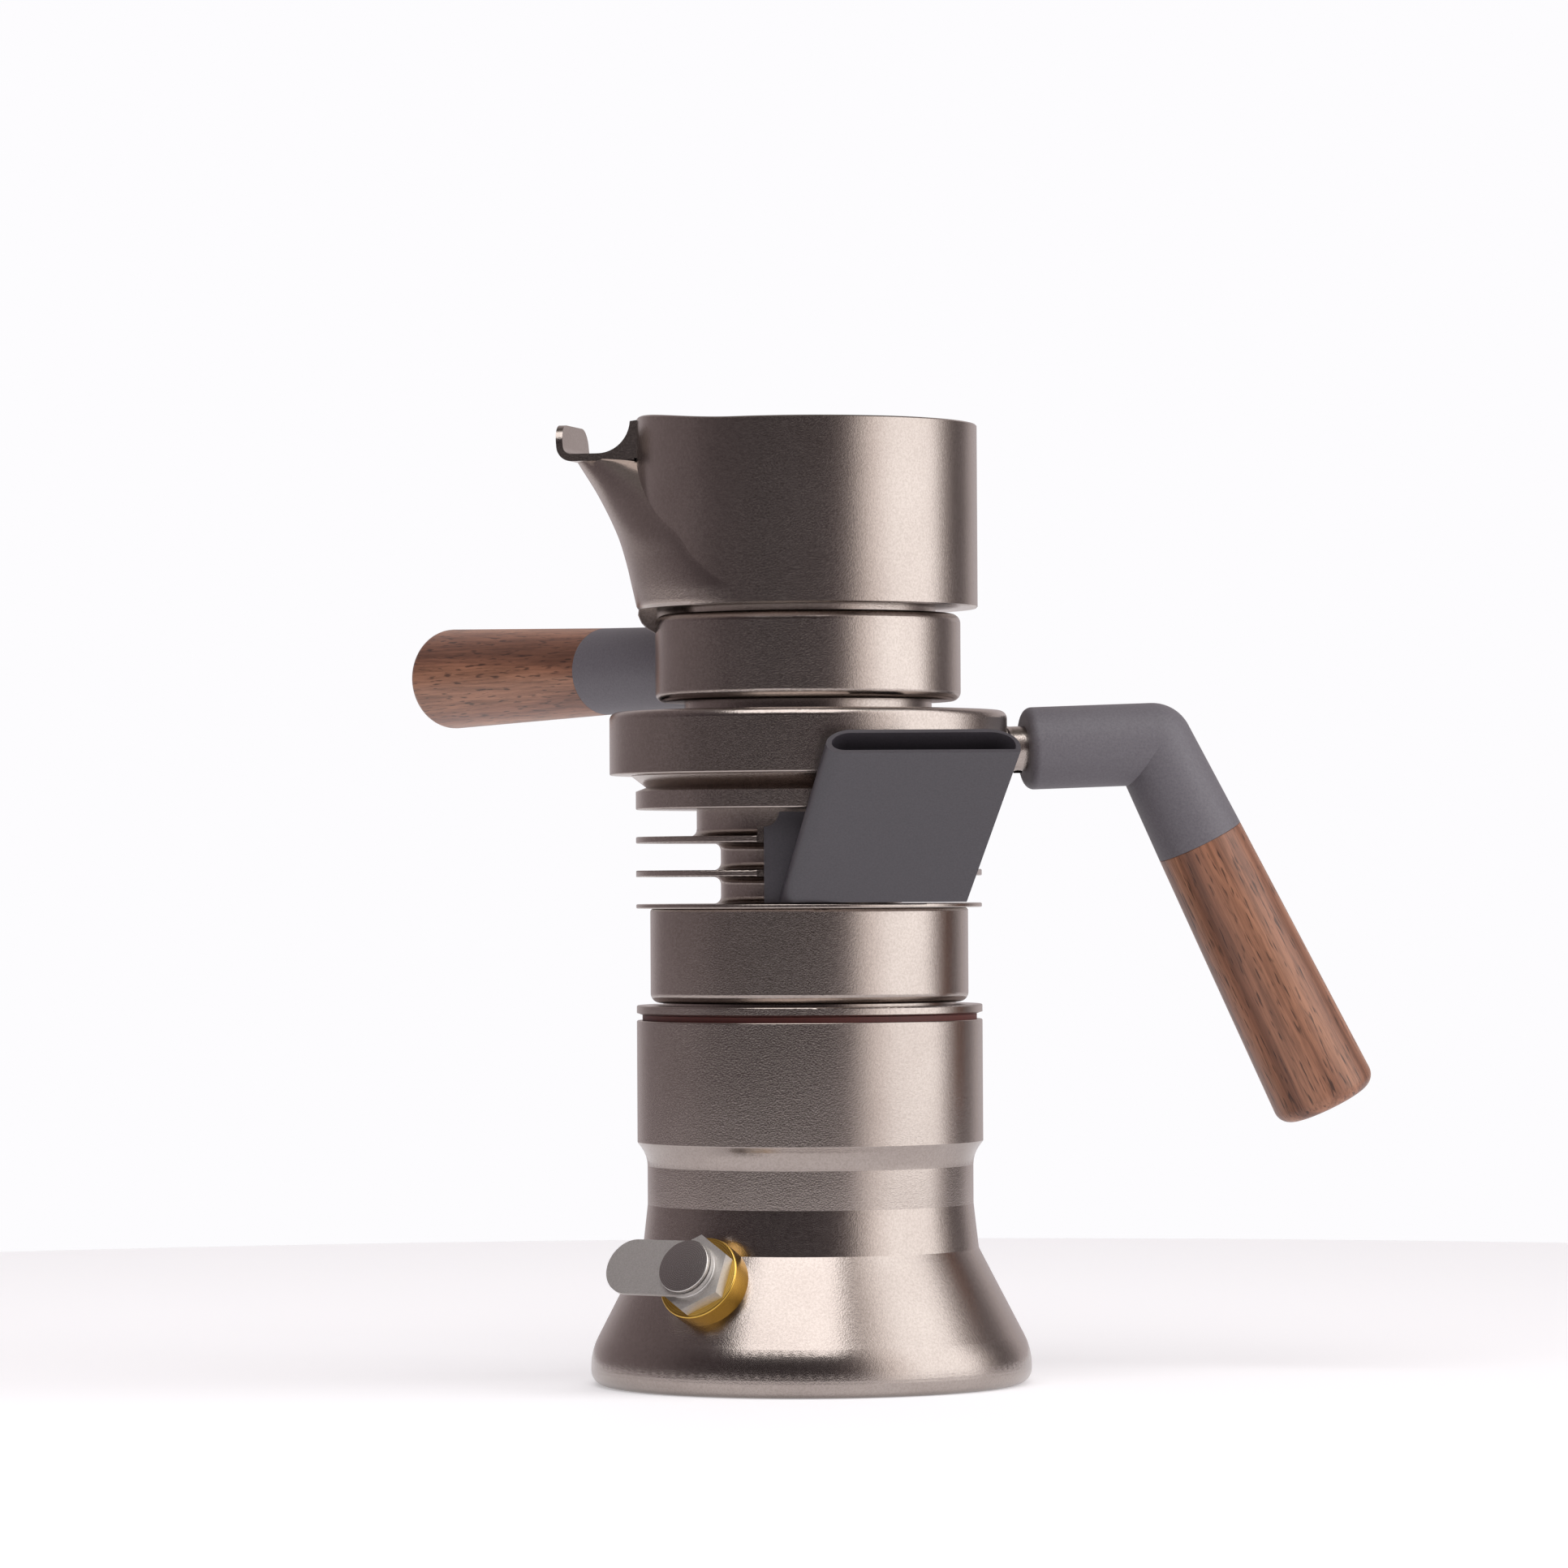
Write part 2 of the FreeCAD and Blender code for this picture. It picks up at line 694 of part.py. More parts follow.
def boiler_head():
    """Flange that screws into the lower boiler, and the pickup tube through it."""
    top = f"({FLANGE_Z} + flange_thickness)"
    body = new_body("head_body", stack)
    revolve(body, "head_turned", (
        ("0", f"{top} - head_plate"),
        (f"{SPIGOT} - spigot_wall", f"{top} - head_plate"),
        (f"{SPIGOT} - spigot_wall", f"{FLANGE_Z} - spigot_depth"),
        (SPIGOT, f"{FLANGE_Z} - spigot_depth"),
        (SPIGOT, FLANGE_Z),
        ("body_radius - flange_chamfer", FLANGE_Z),
        ("body_radius", f"{FLANGE_Z} + flange_chamfer_height"),
        ("body_radius", top),
        ("body_radius - head_groove_depth", top),
        ("body_radius - head_groove_depth", SHELL_Z),
        ("0", SHELL_Z),
    ))
    soften(body, "head_edge", [("body_radius", top)], "edge_break")
    stack_holes(body, "head")
    keep(body, "boiler_head")
    tube_top = f"({SHELL_Z} + shell_floor + pickup_rise)"
    turned_piece("pickup_tube", (
        ("pickup_bore_radius", "boiler_floor + pickup_floor_gap"),
        ("pickup_radius", "boiler_floor + pickup_floor_gap"),
        ("pickup_radius", tube_top),
        ("pickup_bore_radius", tube_top),
    ), stack.multiply(App.Placement(App.Vector(value("pickup_offset"), 0, 0), App.Rotation())))


def regulator():
    """One-way pressure regulator between the boilers: seat, sprung poppet and cap."""
    plate_z = f"({FLANGE_Z} + flange_thickness - head_plate)"
    low = f"({plate_z} - regulator_below)"
    seat = f"({low} + regulator_floor)"
    high = f"({SHELL_Z} + shell_floor + regulator_above)"
    cap_z = f"({high} - regulator_cap_thickness)"
    poppet_top = f"({seat} + poppet_thickness)"
    turned_piece("regulator_seat", (
        ("regulator_orifice_radius", low),
        ("regulator_radius", low),
        ("regulator_radius", high),
        ("regulator_bore_radius", high),
        ("regulator_bore_radius", seat),
        ("regulator_orifice_radius", seat),
    ))
    turned_piece("regulator_poppet", (
        ("0", seat),
        ("regulator_bore_radius - poppet_clearance", seat),
        ("regulator_bore_radius - poppet_clearance", poppet_top),
        ("poppet_stem_radius", poppet_top),
        ("poppet_stem_radius", f"{cap_z} + poppet_clearance"),
        ("0", f"{cap_z} + poppet_clearance"),
    ))
    turned_piece("regulator_cap", (
        ("poppet_stem_radius + poppet_clearance", cap_z),
        ("regulator_bore_radius", cap_z),
        ("regulator_bore_radius", high),
        ("poppet_stem_radius + poppet_clearance", high),
    ))
    coil_spring(
        "regulator_spring", "regulator_spring_radius", "regulator_spring_wire", "regulator_spring_turns",
        f"{cap_z} - {poppet_top}", App.Placement(UP * value(poppet_top), App.Rotation()),
    )


def second_boiler():
    """Open shell of the second boiler, closed by the heat sink."""
    body = new_body("shell_body", stack)
    inner = "(shell_radius - shell_wall)"
    revolve(body, "shell_turned", (
        ("0", SHELL_Z),
        ("shell_radius", SHELL_Z),
        ("shell_radius", SINK_Z),
        (inner, SINK_Z),
        (inner, f"{SHELL_Z} + shell_floor"),
        ("0", f"{SHELL_Z} + shell_floor"),
    ))
    soften(body, "shell_foot", [("shell_radius", SHELL_Z)], "shell_foot_round")
    soften(body, "shell_top", [("shell_radius", SINK_Z)], "shell_top_round")
    stack_holes(body, "shell")
    keep(body, "second_boiler_shell")


def exchanger_run(name, radius):
    """The exchanger's ring of the given radius with a slightly thinner riser at each end, as a bar."""
    height = f"({SINK_Z} - exchanger_rise)"
    sweep = value("exchanger_sweep")
    centre = stack.multiply(App.Placement(UP * value(height), App.Rotation()))
    ring_sizes = {"Radius1": "exchanger_ring_radius", "Radius2": radius, "Angle3": "exchanger_sweep"}
    parts = [block("Torus", name + "_ring", ring_sizes, centre)]
    for index, angle in enumerate((0.0, sweep)):
        spoke = App.Rotation(UP, angle).multVec(App.Vector(value("exchanger_ring_radius"), 0, 0))
        place = centre.multiply(App.Placement(spoke, App.Rotation()))
        riser = {"Radius": f"0.85 * ({radius})", "Height": "exchanger_rise"}
        parts.append(block("Cylinder", f"{name}_riser_{index}", riser, place))
    return joined("Fuse", name, *parts)


def heat_exchanger():
    """Ring of steel tube inside the second boiler."""
    bar = exchanger_run("exchanger_bar", "exchanger_tube_radius")
    hollow = exchanger_run("exchanger_hollow", "exchanger_tube_radius - exchanger_tube_wall")
    keep(joined("Cut", "exchanger_tube", bar, hollow), "heat_exchanger_tube")


def heat_sink():
    """Finned column with a notch and a socket for the water funnel."""
    body = new_body("sink_body", stack)
    plate = f"({SINK_Z} + low_plate)"
    fin_2 = f"({FIN_2_Z} + fin_thickness)"
    fin_1 = f"({FIN_1_Z} + fin_thickness)"
    revolve(body, "sink_turned", (
        ("sink_bore_radius", SINK_Z),
        ("body_radius", SINK_Z),
        ("body_radius", plate),
        ("column_radius", plate),
        ("column_radius", FIN_2_Z),
        ("body_radius", FIN_2_Z),
        ("body_radius", fin_2),
        ("column_radius", fin_2),
        ("column_radius", FIN_1_Z),
        ("body_radius", FIN_1_Z),
        ("body_radius", fin_1),
        ("upper_column_radius", fin_1),
        ("upper_column_radius", GROUP_Z),
        ("sink_bore_radius", GROUP_Z),
    ))
    roots = [("column_radius", z) for z in (plate, FIN_2_Z, fin_2, FIN_1_Z)]
    soften(body, "sink_roots", roots + [("upper_column_radius", fin_1)], "fin_root_round")
    rims = [("body_radius", z) for z in (SINK_Z, plate, FIN_2_Z, fin_2, FIN_1_Z, fin_1)]
    soften(body, "sink_rims", rims, "fin_edge_round")
    far = "(2 * body_radius)"
    notch = outline(body, "notch_outline", "XY_Plane", (
        ("-notch_left", f"-{far}"),
        (far, f"-{far}"),
        (far, f"-{NOTCH_FLOOR}"),
        ("notch_corner", f"-{NOTCH_FLOOR}"),
        ("notch_corner", "-notch_back"),
        ("-notch_left", "-notch_back"),
    ), lift=f"{plate} + low_plate")
    pocket(body, "sink_notch", notch, f"{fin_1} + 1.2 * fin_root_round - {plate} - low_plate", reverse=True)
    bolts = rings(body, "sink_bolt_rings", "XY_Plane",
                  around("clamp_circle_radius", 4, "clamp_bolt_radius"), SINK_Z)
    pocket(body, "sink_bolt_holes", bolts, "clamp_depth", reverse=True)
    screws = rings(body, "sink_screw_rings", "XY_Plane",
                   around("group_circle_radius", 4, "clamp_bolt_radius", 0.0), GROUP_Z)
    pocket(body, "sink_screw_holes", screws, "group_screw_depth")
    inlet_z = f"({SINK_Z} + inlet_height)"
    socket = rings(body, "sink_socket_ring", "XZ_Plane", [("0", inlet_z, "inlet_radius")],
                   "column_radius - inlet_depth")
    pocket(body, "sink_socket", socket, "notch_back + low_plate + inlet_depth - column_radius", reverse=True)
    passage = rings(body, "sink_passage_ring", "XZ_Plane", [("0", inlet_z, "inlet_bore_radius")],
                    "sink_bore_radius / 3")
    pocket(body, "sink_passage", passage, "column_radius - inlet_depth / 2", reverse=True)
    keep(body, "heat_sink")


def screws(node, radius, low, high, head_low, head_high, start):
    """Four equal screws on a circle, as separate solids of one node."""
    body = new_body(node + "_body", stack)
    body.AllowCompound = True
    shanks = rings(body, node + "_rings", "XY_Plane", around(radius, 4, "clamp_bolt_radius", start), low)
    pad(body, node + "_shanks", shanks, f"{high} - {low}")
    circles = around(radius, 4, "clamp_head_radius", start)
    heads = rings(body, node + "_head_rings", "XY_Plane", circles, head_low)
    pad(body, node + "_heads", heads, f"{head_high} - {head_low}")
    keep(body, node)


def fasteners():
    """Bolts from the boiler head to the heat sink, and screws that hold the group head."""
    plate_z = f"({FLANGE_Z} + flange_thickness - head_plate)"
    screws("clamp_bolts", "clamp_circle_radius", plate_z, f"({SINK_Z} + clamp_depth)",
           f"({plate_z} - clamp_head_height)", plate_z, 45.0)
    recess = f"({CUP_Z} - recess_depth)"
    screws("group_screws", "group_circle_radius", f"({GROUP_Z} - group_screw_depth)",
           f"({recess} - clamp_head_height)", f"({recess} - clamp_head_height)", recess, 0.0)


def group_head():
    """Group head with its collar, the jug's seat and three bayonet slots."""
    body = new_body("group_body", stack)
    seat_z = f"({CUP_Z} + seat_height)"
    collar_z = f"({GROUP_Z} + collar_start)"
    recess_z = f"({CUP_Z} - recess_depth)"
    revolve(body, "group_turned", (
        ("sink_bore_radius", GROUP_Z),
        ("body_radius", GROUP_Z),
        ("body_radius", f"{GROUP_Z} + disc_height"),
        ("waist_radius", f"{GROUP_Z} + waist_height"),
        ("cone_radius", f"{GROUP_Z} + cone_height"),
        ("cone_radius", collar_z),
        ("collar_radius", collar_z),
        ("collar_radius", COLLAR_Z),
        ("lip_radius", COLLAR_Z),
        ("lip_radius", LIP_Z),
        ("cup_radius", LIP_Z),
        ("cup_radius", seat_z),
        ("seat_radius", seat_z),
        ("seat_radius", CUP_Z),
        ("recess_radius", CUP_Z),
        ("recess_radius", recess_z),
        ("sink_bore_radius", recess_z),
    ))
    soften(body, "group_collar_top", [("collar_radius", COLLAR_Z)], "collar_top_round")
    edges = [("collar_radius", collar_z), ("body_radius", GROUP_Z)]
    soften(body, "group_edges", edges, "edge_break")
    slot = sector(body, "group_slot_outline", "lip_radius - lip_thickness", "cup_radius",
                  "slot_half_angle", COLLAR_Z)
    slot.AttachmentOffset = App.Placement(slot.AttachmentOffset.Base, App.Rotation(UP, 60))
    cut = pocket(body, "group_slot", slot, "lip_thickness + lug_gap")
    polar(body, "group_slots", cut, slot, 3)
    shanks = rings(body, "group_screw_rings", "XY_Plane",
                   around("group_circle_radius", 4, "clamp_bolt_radius", 0.0), recess_z)
    pocket(body, "group_screw_holes", shanks, f"{recess_z} - {GROUP_Z}")
    heads = rings(body, "group_head_rings", "XY_Plane",
                  around("group_circle_radius", 4, "clamp_head_radius", 0.0), recess_z)
    pocket(body, "group_head_holes", heads, "clamp_head_height")
    keep(body, "group_head")


def coffee_chamber():
    """Gasket, screens and filter basket between the group head and the jug's neck."""
    turned_piece("group_gasket", (
        (CHAMBER, CUP_Z),
        ("group_gasket_radius", CUP_Z),
        ("group_gasket_radius", SEAL_Z),
        (CHAMBER, SEAL_Z),
    ))
    basket_z = f"({CUP_Z} + screen_thickness)"
    holes = hole_rows("screen_radius", "screen_hole_spacing", "screen_hole_radius", 3)
    for node, low in (("shower_screen", CUP_Z), ("outlet_screen", f"{CHAMBER_Z} - screen_thickness")):
        body = new_body(node + "_body", stack)
        disc = rings(body, node + "_disc", "XY_Plane", [("0", "0", "screen_radius")], low)
        pad(body, node + "_plate", disc, "screen_thickness")
        pocket(body, node + "_holes", rings(body, node + "_rings", "XY_Plane", holes))
        keep(body, node)
    body = new_body("basket_body", stack)
    inner = "(basket_radius - basket_wall)"
    revolve(body, "basket_turned", (
        ("0", basket_z),
        ("basket_radius", basket_z),
        ("basket_radius", f"{basket_z} + basket_height"),
        (inner, f"{basket_z} + basket_height"),
        (inner, f"{basket_z} + basket_wall"),
        ("0", f"{basket_z} + basket_wall"),
    ))
    pocket(body, "basket_holes", rings(body, "basket_rings", "XY_Plane", holes))
    keep(body, "filter_basket")


def jug_neck():
    """Hollow neck with bayonet lugs, under the jug."""
    body = new_body("jug_neck_body", stack)
    inner = "(jug_neck_radius - jug_neck_wall)"
    floor_z = f"({NECK_Z} + jug_neck_plate)"
    roof_z = f"({THROAT_Z} - jug_neck_plate)"
    revolve(body, "jug_neck_turned", (
        (CHAMBER, SEAL_Z),
        (PLUG, SEAL_Z),
        (PLUG, COLLAR_Z),
        ("jug_neck_radius - neck_groove_depth", COLLAR_Z),
        ("jug_neck_radius - neck_groove_depth", NECK_Z),
        ("jug_neck_radius", NECK_Z),
        ("jug_neck_radius", THROAT_Z),
        ("jug_neck_radius - throat_inset", THROAT_Z),
        ("jug_neck_radius - throat_inset", JUG_Z),
        ("outlet_radius", JUG_Z),
        ("outlet_radius", roof_z),
        (inner, roof_z),
        (inner, floor_z),
        ("outlet_radius", floor_z),
        ("outlet_radius", CHAMBER_Z),
        (CHAMBER, CHAMBER_Z),
    ))
    corners = [("jug_neck_radius", NECK_Z), ("jug_neck_radius", THROAT_Z)]
    soften(body, "jug_neck_corners", corners, "jug_neck_round")
    lug_z = f"({LIP_Z} - lug_gap - lug_thickness)"
    lug = sector(body, "lug_outline", f"{PLUG} - 1", "cup_radius - lug_end_gap", "lug_half_angle", lug_z)
    lug_pad = pad(body, "lug", lug, "lug_thickness")
    polar(body, "lugs", lug_pad, lug, 3)
    keep(body, "jug_neck")


def ring_loft(body, name, kind, levels, inset):
    """Smooth loft through level circles, which stand above the jug's underside."""
    circles = []
    for index, (height, centre, radius) in enumerate(levels):
        circle = [(f"-{centre}", "0", f"{radius} - {inset}")]
        level = f"{JUG_Z} + {height}"
        circles.append(rings(body, f"{name}_ring_{index}", "XY_Plane", circle, level))
    loft = body.newObject(kind, name)
    loft.Profile = circles[0]
    loft.Sections = circles[1:]
    doc.recompute()


def jug():
    """Jug with its beak along the body's own -X, which keeps the turned seam away from the spout."""
    body = new_body("jug_body", spun("spout_azimuth + 180"))
    top = f"({JUG_Z} + jug_height)"
    inner = "(jug_radius - jug_wall)"
    revolve(body, "jug_turned", (
        ("outlet_radius", JUG_Z),
        ("jug_radius", JUG_Z),
        ("jug_radius", top),
        ("outlet_radius", top),
    ))
    revolve(body, "jug_lug", (
        ("-jug_neck_radius", f"{JUG_Z} - jug_lug_drop"),
        ("-jug_neck_radius - jug_lug_reach", f"{JUG_Z} - jug_lug_edge"),
        ("-jug_radius + jug_wall / 4", f"{JUG_Z} + jug_floor / 3"),
        ("-jug_neck_radius", f"{JUG_Z} + jug_floor / 3"),
    ), {0: "jug_lug_cove"}, "2 * jug_lug_half_angle")
    ring_loft(body, "spout", "PartDesign::AdditiveLoft", SPOUT_RINGS, "0")
    foot = f"({JUG_Z} + beak_floor_height)"
    floor_top = f"({JUG_Z} + beak_floor_top)"
    side = outline(body, "beak_outline", "XZ_Plane", (
        (f"-{inner} / 2", foot),
        ("-beak_foot", foot),
        ("-beak_tip", f"{JUG_Z} + beak_tip_height"),
        ("beak_plate - beak_tip", f"{JUG_Z} + beak_tip_height"),
        ("beak_plate - beak_foot", floor_top),
        ("-cheek_foot_reach", floor_top),
        ("-cheek_top_reach", f"{JUG_Z} + cheek_height"),
        (f"-{inner} / 2", f"{JUG_Z} + cheek_height"),
    ), {5: "cheek_round"})
    pad(body, "beak", side, "2 * beak_half_width", both=True)
    bowl = outline(body, "bowl_outline", "XZ_Plane", (
        ("0", f"{JUG_Z} + jug_floor"),
        (inner, f"{JUG_Z} + jug_floor"),
        (inner, f"{JUG_Z} + 2 * cheek_height"),
        ("0", f"{JUG_Z} + 2 * cheek_height"),
    ))
    scoop = body.newObject("PartDesign::Groove", "bowl")
    scoop.Profile = bowl
    scoop.ReferenceAxis = (bowl, ["V_Axis"])
    scoop.Angle = 360
    doc.recompute()
    ring_loft(body, "spout_hollow", "PartDesign::SubtractiveLoft", SPOUT_RINGS[1:], "jug_wall")
    channel = outline(body, "channel_outline", "XZ_Plane", (
        ("0", floor_top),
        ("3 * beak_plate - beak_foot", floor_top),
        ("3 * beak_plate - beak_foot", f"{JUG_Z} + 2 * cheek_height"),
        ("0", f"{JUG_Z} + 2 * cheek_height"),
    ))
    pocket(body, "channel", channel, "2 * (beak_half_width - cheek_wall)", both=True)
    keep(body, "jug")


def coffee_riser():
    """Tube that clamps the jug to the neck and lets the coffee out under a cap."""
    roof_z = f"({THROAT_Z} - jug_neck_plate)"
    body = new_body("riser_body")
    revolve(body, "riser_turned", (
        ("riser_bore_radius", roof_z),
        ("outlet_radius", roof_z),
        ("outlet_radius", RISER_Z),
        ("riser_bore_radius", RISER_Z),
    ))
    ports = rings(body, "riser_ports_ring", "XZ_Plane",
                  [("0", f"{RISER_Z} - riser_port_drop", "riser_port_radius")])
    pocket(body, "riser_ports", ports)
    keep(body, "riser_tube")
    brim = f"({RISER_Z} - riser_cap_skirt + 0.4 * riser_cap_height)"
    turned_piece("riser_cap", (
        ("0", RISER_Z),
        ("outlet_radius", RISER_Z),
        ("outlet_radius", f"{RISER_Z} - riser_cap_skirt"),
        ("riser_cap_radius", f"{RISER_Z} - riser_cap_skirt"),
        ("riser_cap_radius", brim),
        ("0", f"{RISER_Z} - riser_cap_skirt + riser_cap_height"),
    ), None, [([("riser_cap_radius", brim)], "riser_cap_round")])
    turned_piece("jug_seal", (
        ("outlet_radius", f"{JUG_Z} + jug_floor"),
        ("jug_seal_radius", f"{JUG_Z} + jug_floor"),
        ("jug_seal_radius", NUT_Z),
        ("outlet_radius", NUT_Z),
    ))
    nut = new_body("riser_nut_body")
    corner = "riser_nut_flats / 2 / cos(30)"
    sides = [(f"{corner} * cos({60 * step})", f"{corner} * sin({60 * step})") for step in range(6)]
    pad(nut, "riser_nut_hex", outline(nut, "riser_nut_outline", "XY_Plane", sides, lift=NUT_Z),
        "riser_nut_thickness")
    pocket(nut, "riser_nut_hole", rings(nut, "riser_nut_ring", "XY_Plane", [("0", "0", "outlet_radius")]))
    keep(nut, "riser_nut")


def stud(node, wall_radius, wall_place, length, place):
    """Flared boss on a round wall, with a tenon for the handle."""
    body = new_body(node + "_blank", place)
    root = "(4 * boss_flare)"
    revolve(body, node + "_turned", (
        ("0", f"-{root}"),
        ("boss_radius + boss_flare", f"-{root}"),
        ("boss_radius + boss_flare", "0"),
        ("boss_radius", "0"),
        ("boss_radius", length),
        ("tenon_radius", length),
        ("tenon_radius", f"{length} + tenon_length"),
        ("0", f"{length} + tenon_length"),
    ))
    soften(body, node + "_flare", [("boss_radius", "0")], "boss_flare * 0.98")
    wall = block("Cylinder", node + "_wall", {"Radius": wall_radius, "Height": "4 * boss_radius"}, wall_place)
    return joined("Cut", node + "_cut", body, wall)


def ferrule_outline(length):
    """Round bar that widens to the grip's joint, bored for the tenon and the rod."""
    return (
        ("tenon_radius", "0"),
        ("ferrule_radius", "0"),
        ("joint_radius", length),
        ("rod_radius", length),
        ("rod_radius", f"{length} - rod_in_ferrule"),
        ("0", f"{length} - rod_in_ferrule"),
        ("0", "tenon_length"),
        ("tenon_radius", "tenon_length"),
    )


def grip(node, place):
    """Wooden grip from its joint face, with a blind hole for the rod."""
    turned_piece(node, (
        ("rod_radius", "0"),
        ("joint_radius", "0"),
        ("grip_end_radius", "grip_length"),
        ("0", "grip_length"),
        ("0", "rod_in_grip"),
        ("rod_radius", "rod_in_grip"),
    ), place, [([("grip_end_radius", "grip_length")], "grip_end_round")])


def rod(node, place):
    """Steel rod that joins a ferrule to its grip."""
    turned_piece(node, (
        ("0", "-rod_in_ferrule"),
        ("rod_radius", "-rod_in_ferrule"),
        ("rod_radius", "rod_in_grip"),
        ("0", "rod_in_grip"),
    ), place)


def body_handle():
    """Elbow handle on the group's collar."""
    height = f"({GROUP_Z} + handle_centre)"
    rise = "handle_rise_angle"
    base = aimed("collar_radius", "0", height, rise)
    wall_place = App.Placement(UP * (value(height) - value("2 * boss_radius")), App.Rotation())
    start = base.multiply(App.Placement(UP * value("boss_length"), App.Rotation()))
    arm_length = f"((elbow_reach - collar_radius) / cos({rise}) - boss_length)"
    corner = start.multiply(App.Placement(UP * value(arm_length), App.Rotation()))
    down = App.Rotation(App.Vector(0, 1, 0), 180 - value("elbow_angle"))
    leg = App.Placement(corner.Base, down)
    joint = leg.multiply(App.Placement(UP * value("elbow_leg"), App.Rotation()))
    boss = stud("body_handle_boss", "collar_radius", wall_place, "boss_length", base)
    spot = start.multVec(App.Vector(0, 0, -value("grub_back")))
    grub_low = spot - UP * value("boss_radius + edge_break")
    grub_sizes = {"Radius": "grub_radius", "Height": "grub_length"}
    hole = block("Cylinder", "grub_hole", grub_sizes, App.Placement(grub_low, App.Rotation()))
    keep(joined("Cut", "body_handle_boss_drilled", boss, hole), "body_handle_stud")
    keep(block("Cylinder", "grub", grub_sizes, App.Placement(grub_low, App.Rotation())), "body_handle_grub")
    arm = new_body("elbow_arm", start)
    revolve(arm, "elbow_arm_turned", (
        ("tenon_radius", "0"),
        ("ferrule_radius", "0"),
        ("ferrule_radius", arm_length),
        ("0", arm_length),
        ("0", "tenon_length"),
        ("tenon_radius", "tenon_length"),
    ))
    soften(arm, "elbow_arm_round", [("ferrule_radius", "0")], "ferrule_round")
    ball = block("Sphere", "elbow_ball", {"Radius": "ferrule_radius"}, corner)
    cone = block("Cone", "elbow_cone", {
        "Radius1": "ferrule_radius", "Radius2": "joint_radius", "Height": "elbow_leg",
    }, leg)
    elbow = joined("Fuse", "elbow_solid", arm, ball, cone)
    bore_place = joint.multiply(App.Placement(UP * -value("rod_in_ferrule"), App.Rotation()))
    bore = block("Cylinder", "elbow_rod_hole", {"Radius": "rod_radius", "Height": "2 * rod_in_ferrule"},
                 bore_place)
    keep(joined("Cut", "elbow_bored", elbow, bore), "body_handle_elbow")
    grip("body_handle_grip", joint)
    rod("body_handle_rod", joint)


def jug_handle():
    """Straight handle on the neck under the jug."""
    height = f"({JUG_Z} - jug_handle_drop)"
    base = aimed("jug_neck_radius", "jug_handle_azimuth", height)
    wall_place = App.Placement(UP * (value(height) - value("2 * boss_radius")), App.Rotation())
    start = base.multiply(App.Placement(UP * value("jug_boss_length"), App.Rotation()))
    length = "(jug_handle_reach - jug_neck_radius - jug_boss_length)"
    joint = start.multiply(App.Placement(UP * value(length), App.Rotation()))
    keep(stud("jug_handle_boss", "jug_neck_radius", wall_place, "jug_boss_length", base), "jug_handle_stud")
    turned_piece("jug_handle_ferrule", ferrule_outline(length), start,
                 [([("ferrule_radius", "0")], "ferrule_round")])
    grip("jug_handle_grip", joint)
    rod("jug_handle_rod", joint)


def funnel_section(body, name, height, inset):
    """Flattened tube's outline: half-round on the left, a square front corner on the right."""
    rise = f"({height} - {SINK_Z} - low_plate - funnel_start)"
    grow = f"(funnel_growth * {rise} / funnel_top)"
    left = f"({rise} * tan(funnel_side_lean) - funnel_left + {inset})"
    right = f"({left} + funnel_width + {grow} - 2 * {inset})"
    front = f"({inset} - {FUNNEL_FRONT} - {rise} * tan(funnel_out_lean))"
    depth = f"(funnel_depth - 2 * {inset})"
    return outline(body, name, "XY_Plane", (
        (f"{left} + {depth} / 2", front),
        (right, front),
        (f"{right} - {depth}", f"{front} + {depth}"),
        (f"{left} + {depth} / 2", f"{front} + {depth}"),
    ), {1: depth, 3: HALF_ROUND.format(f"{depth} / 2")}, height)


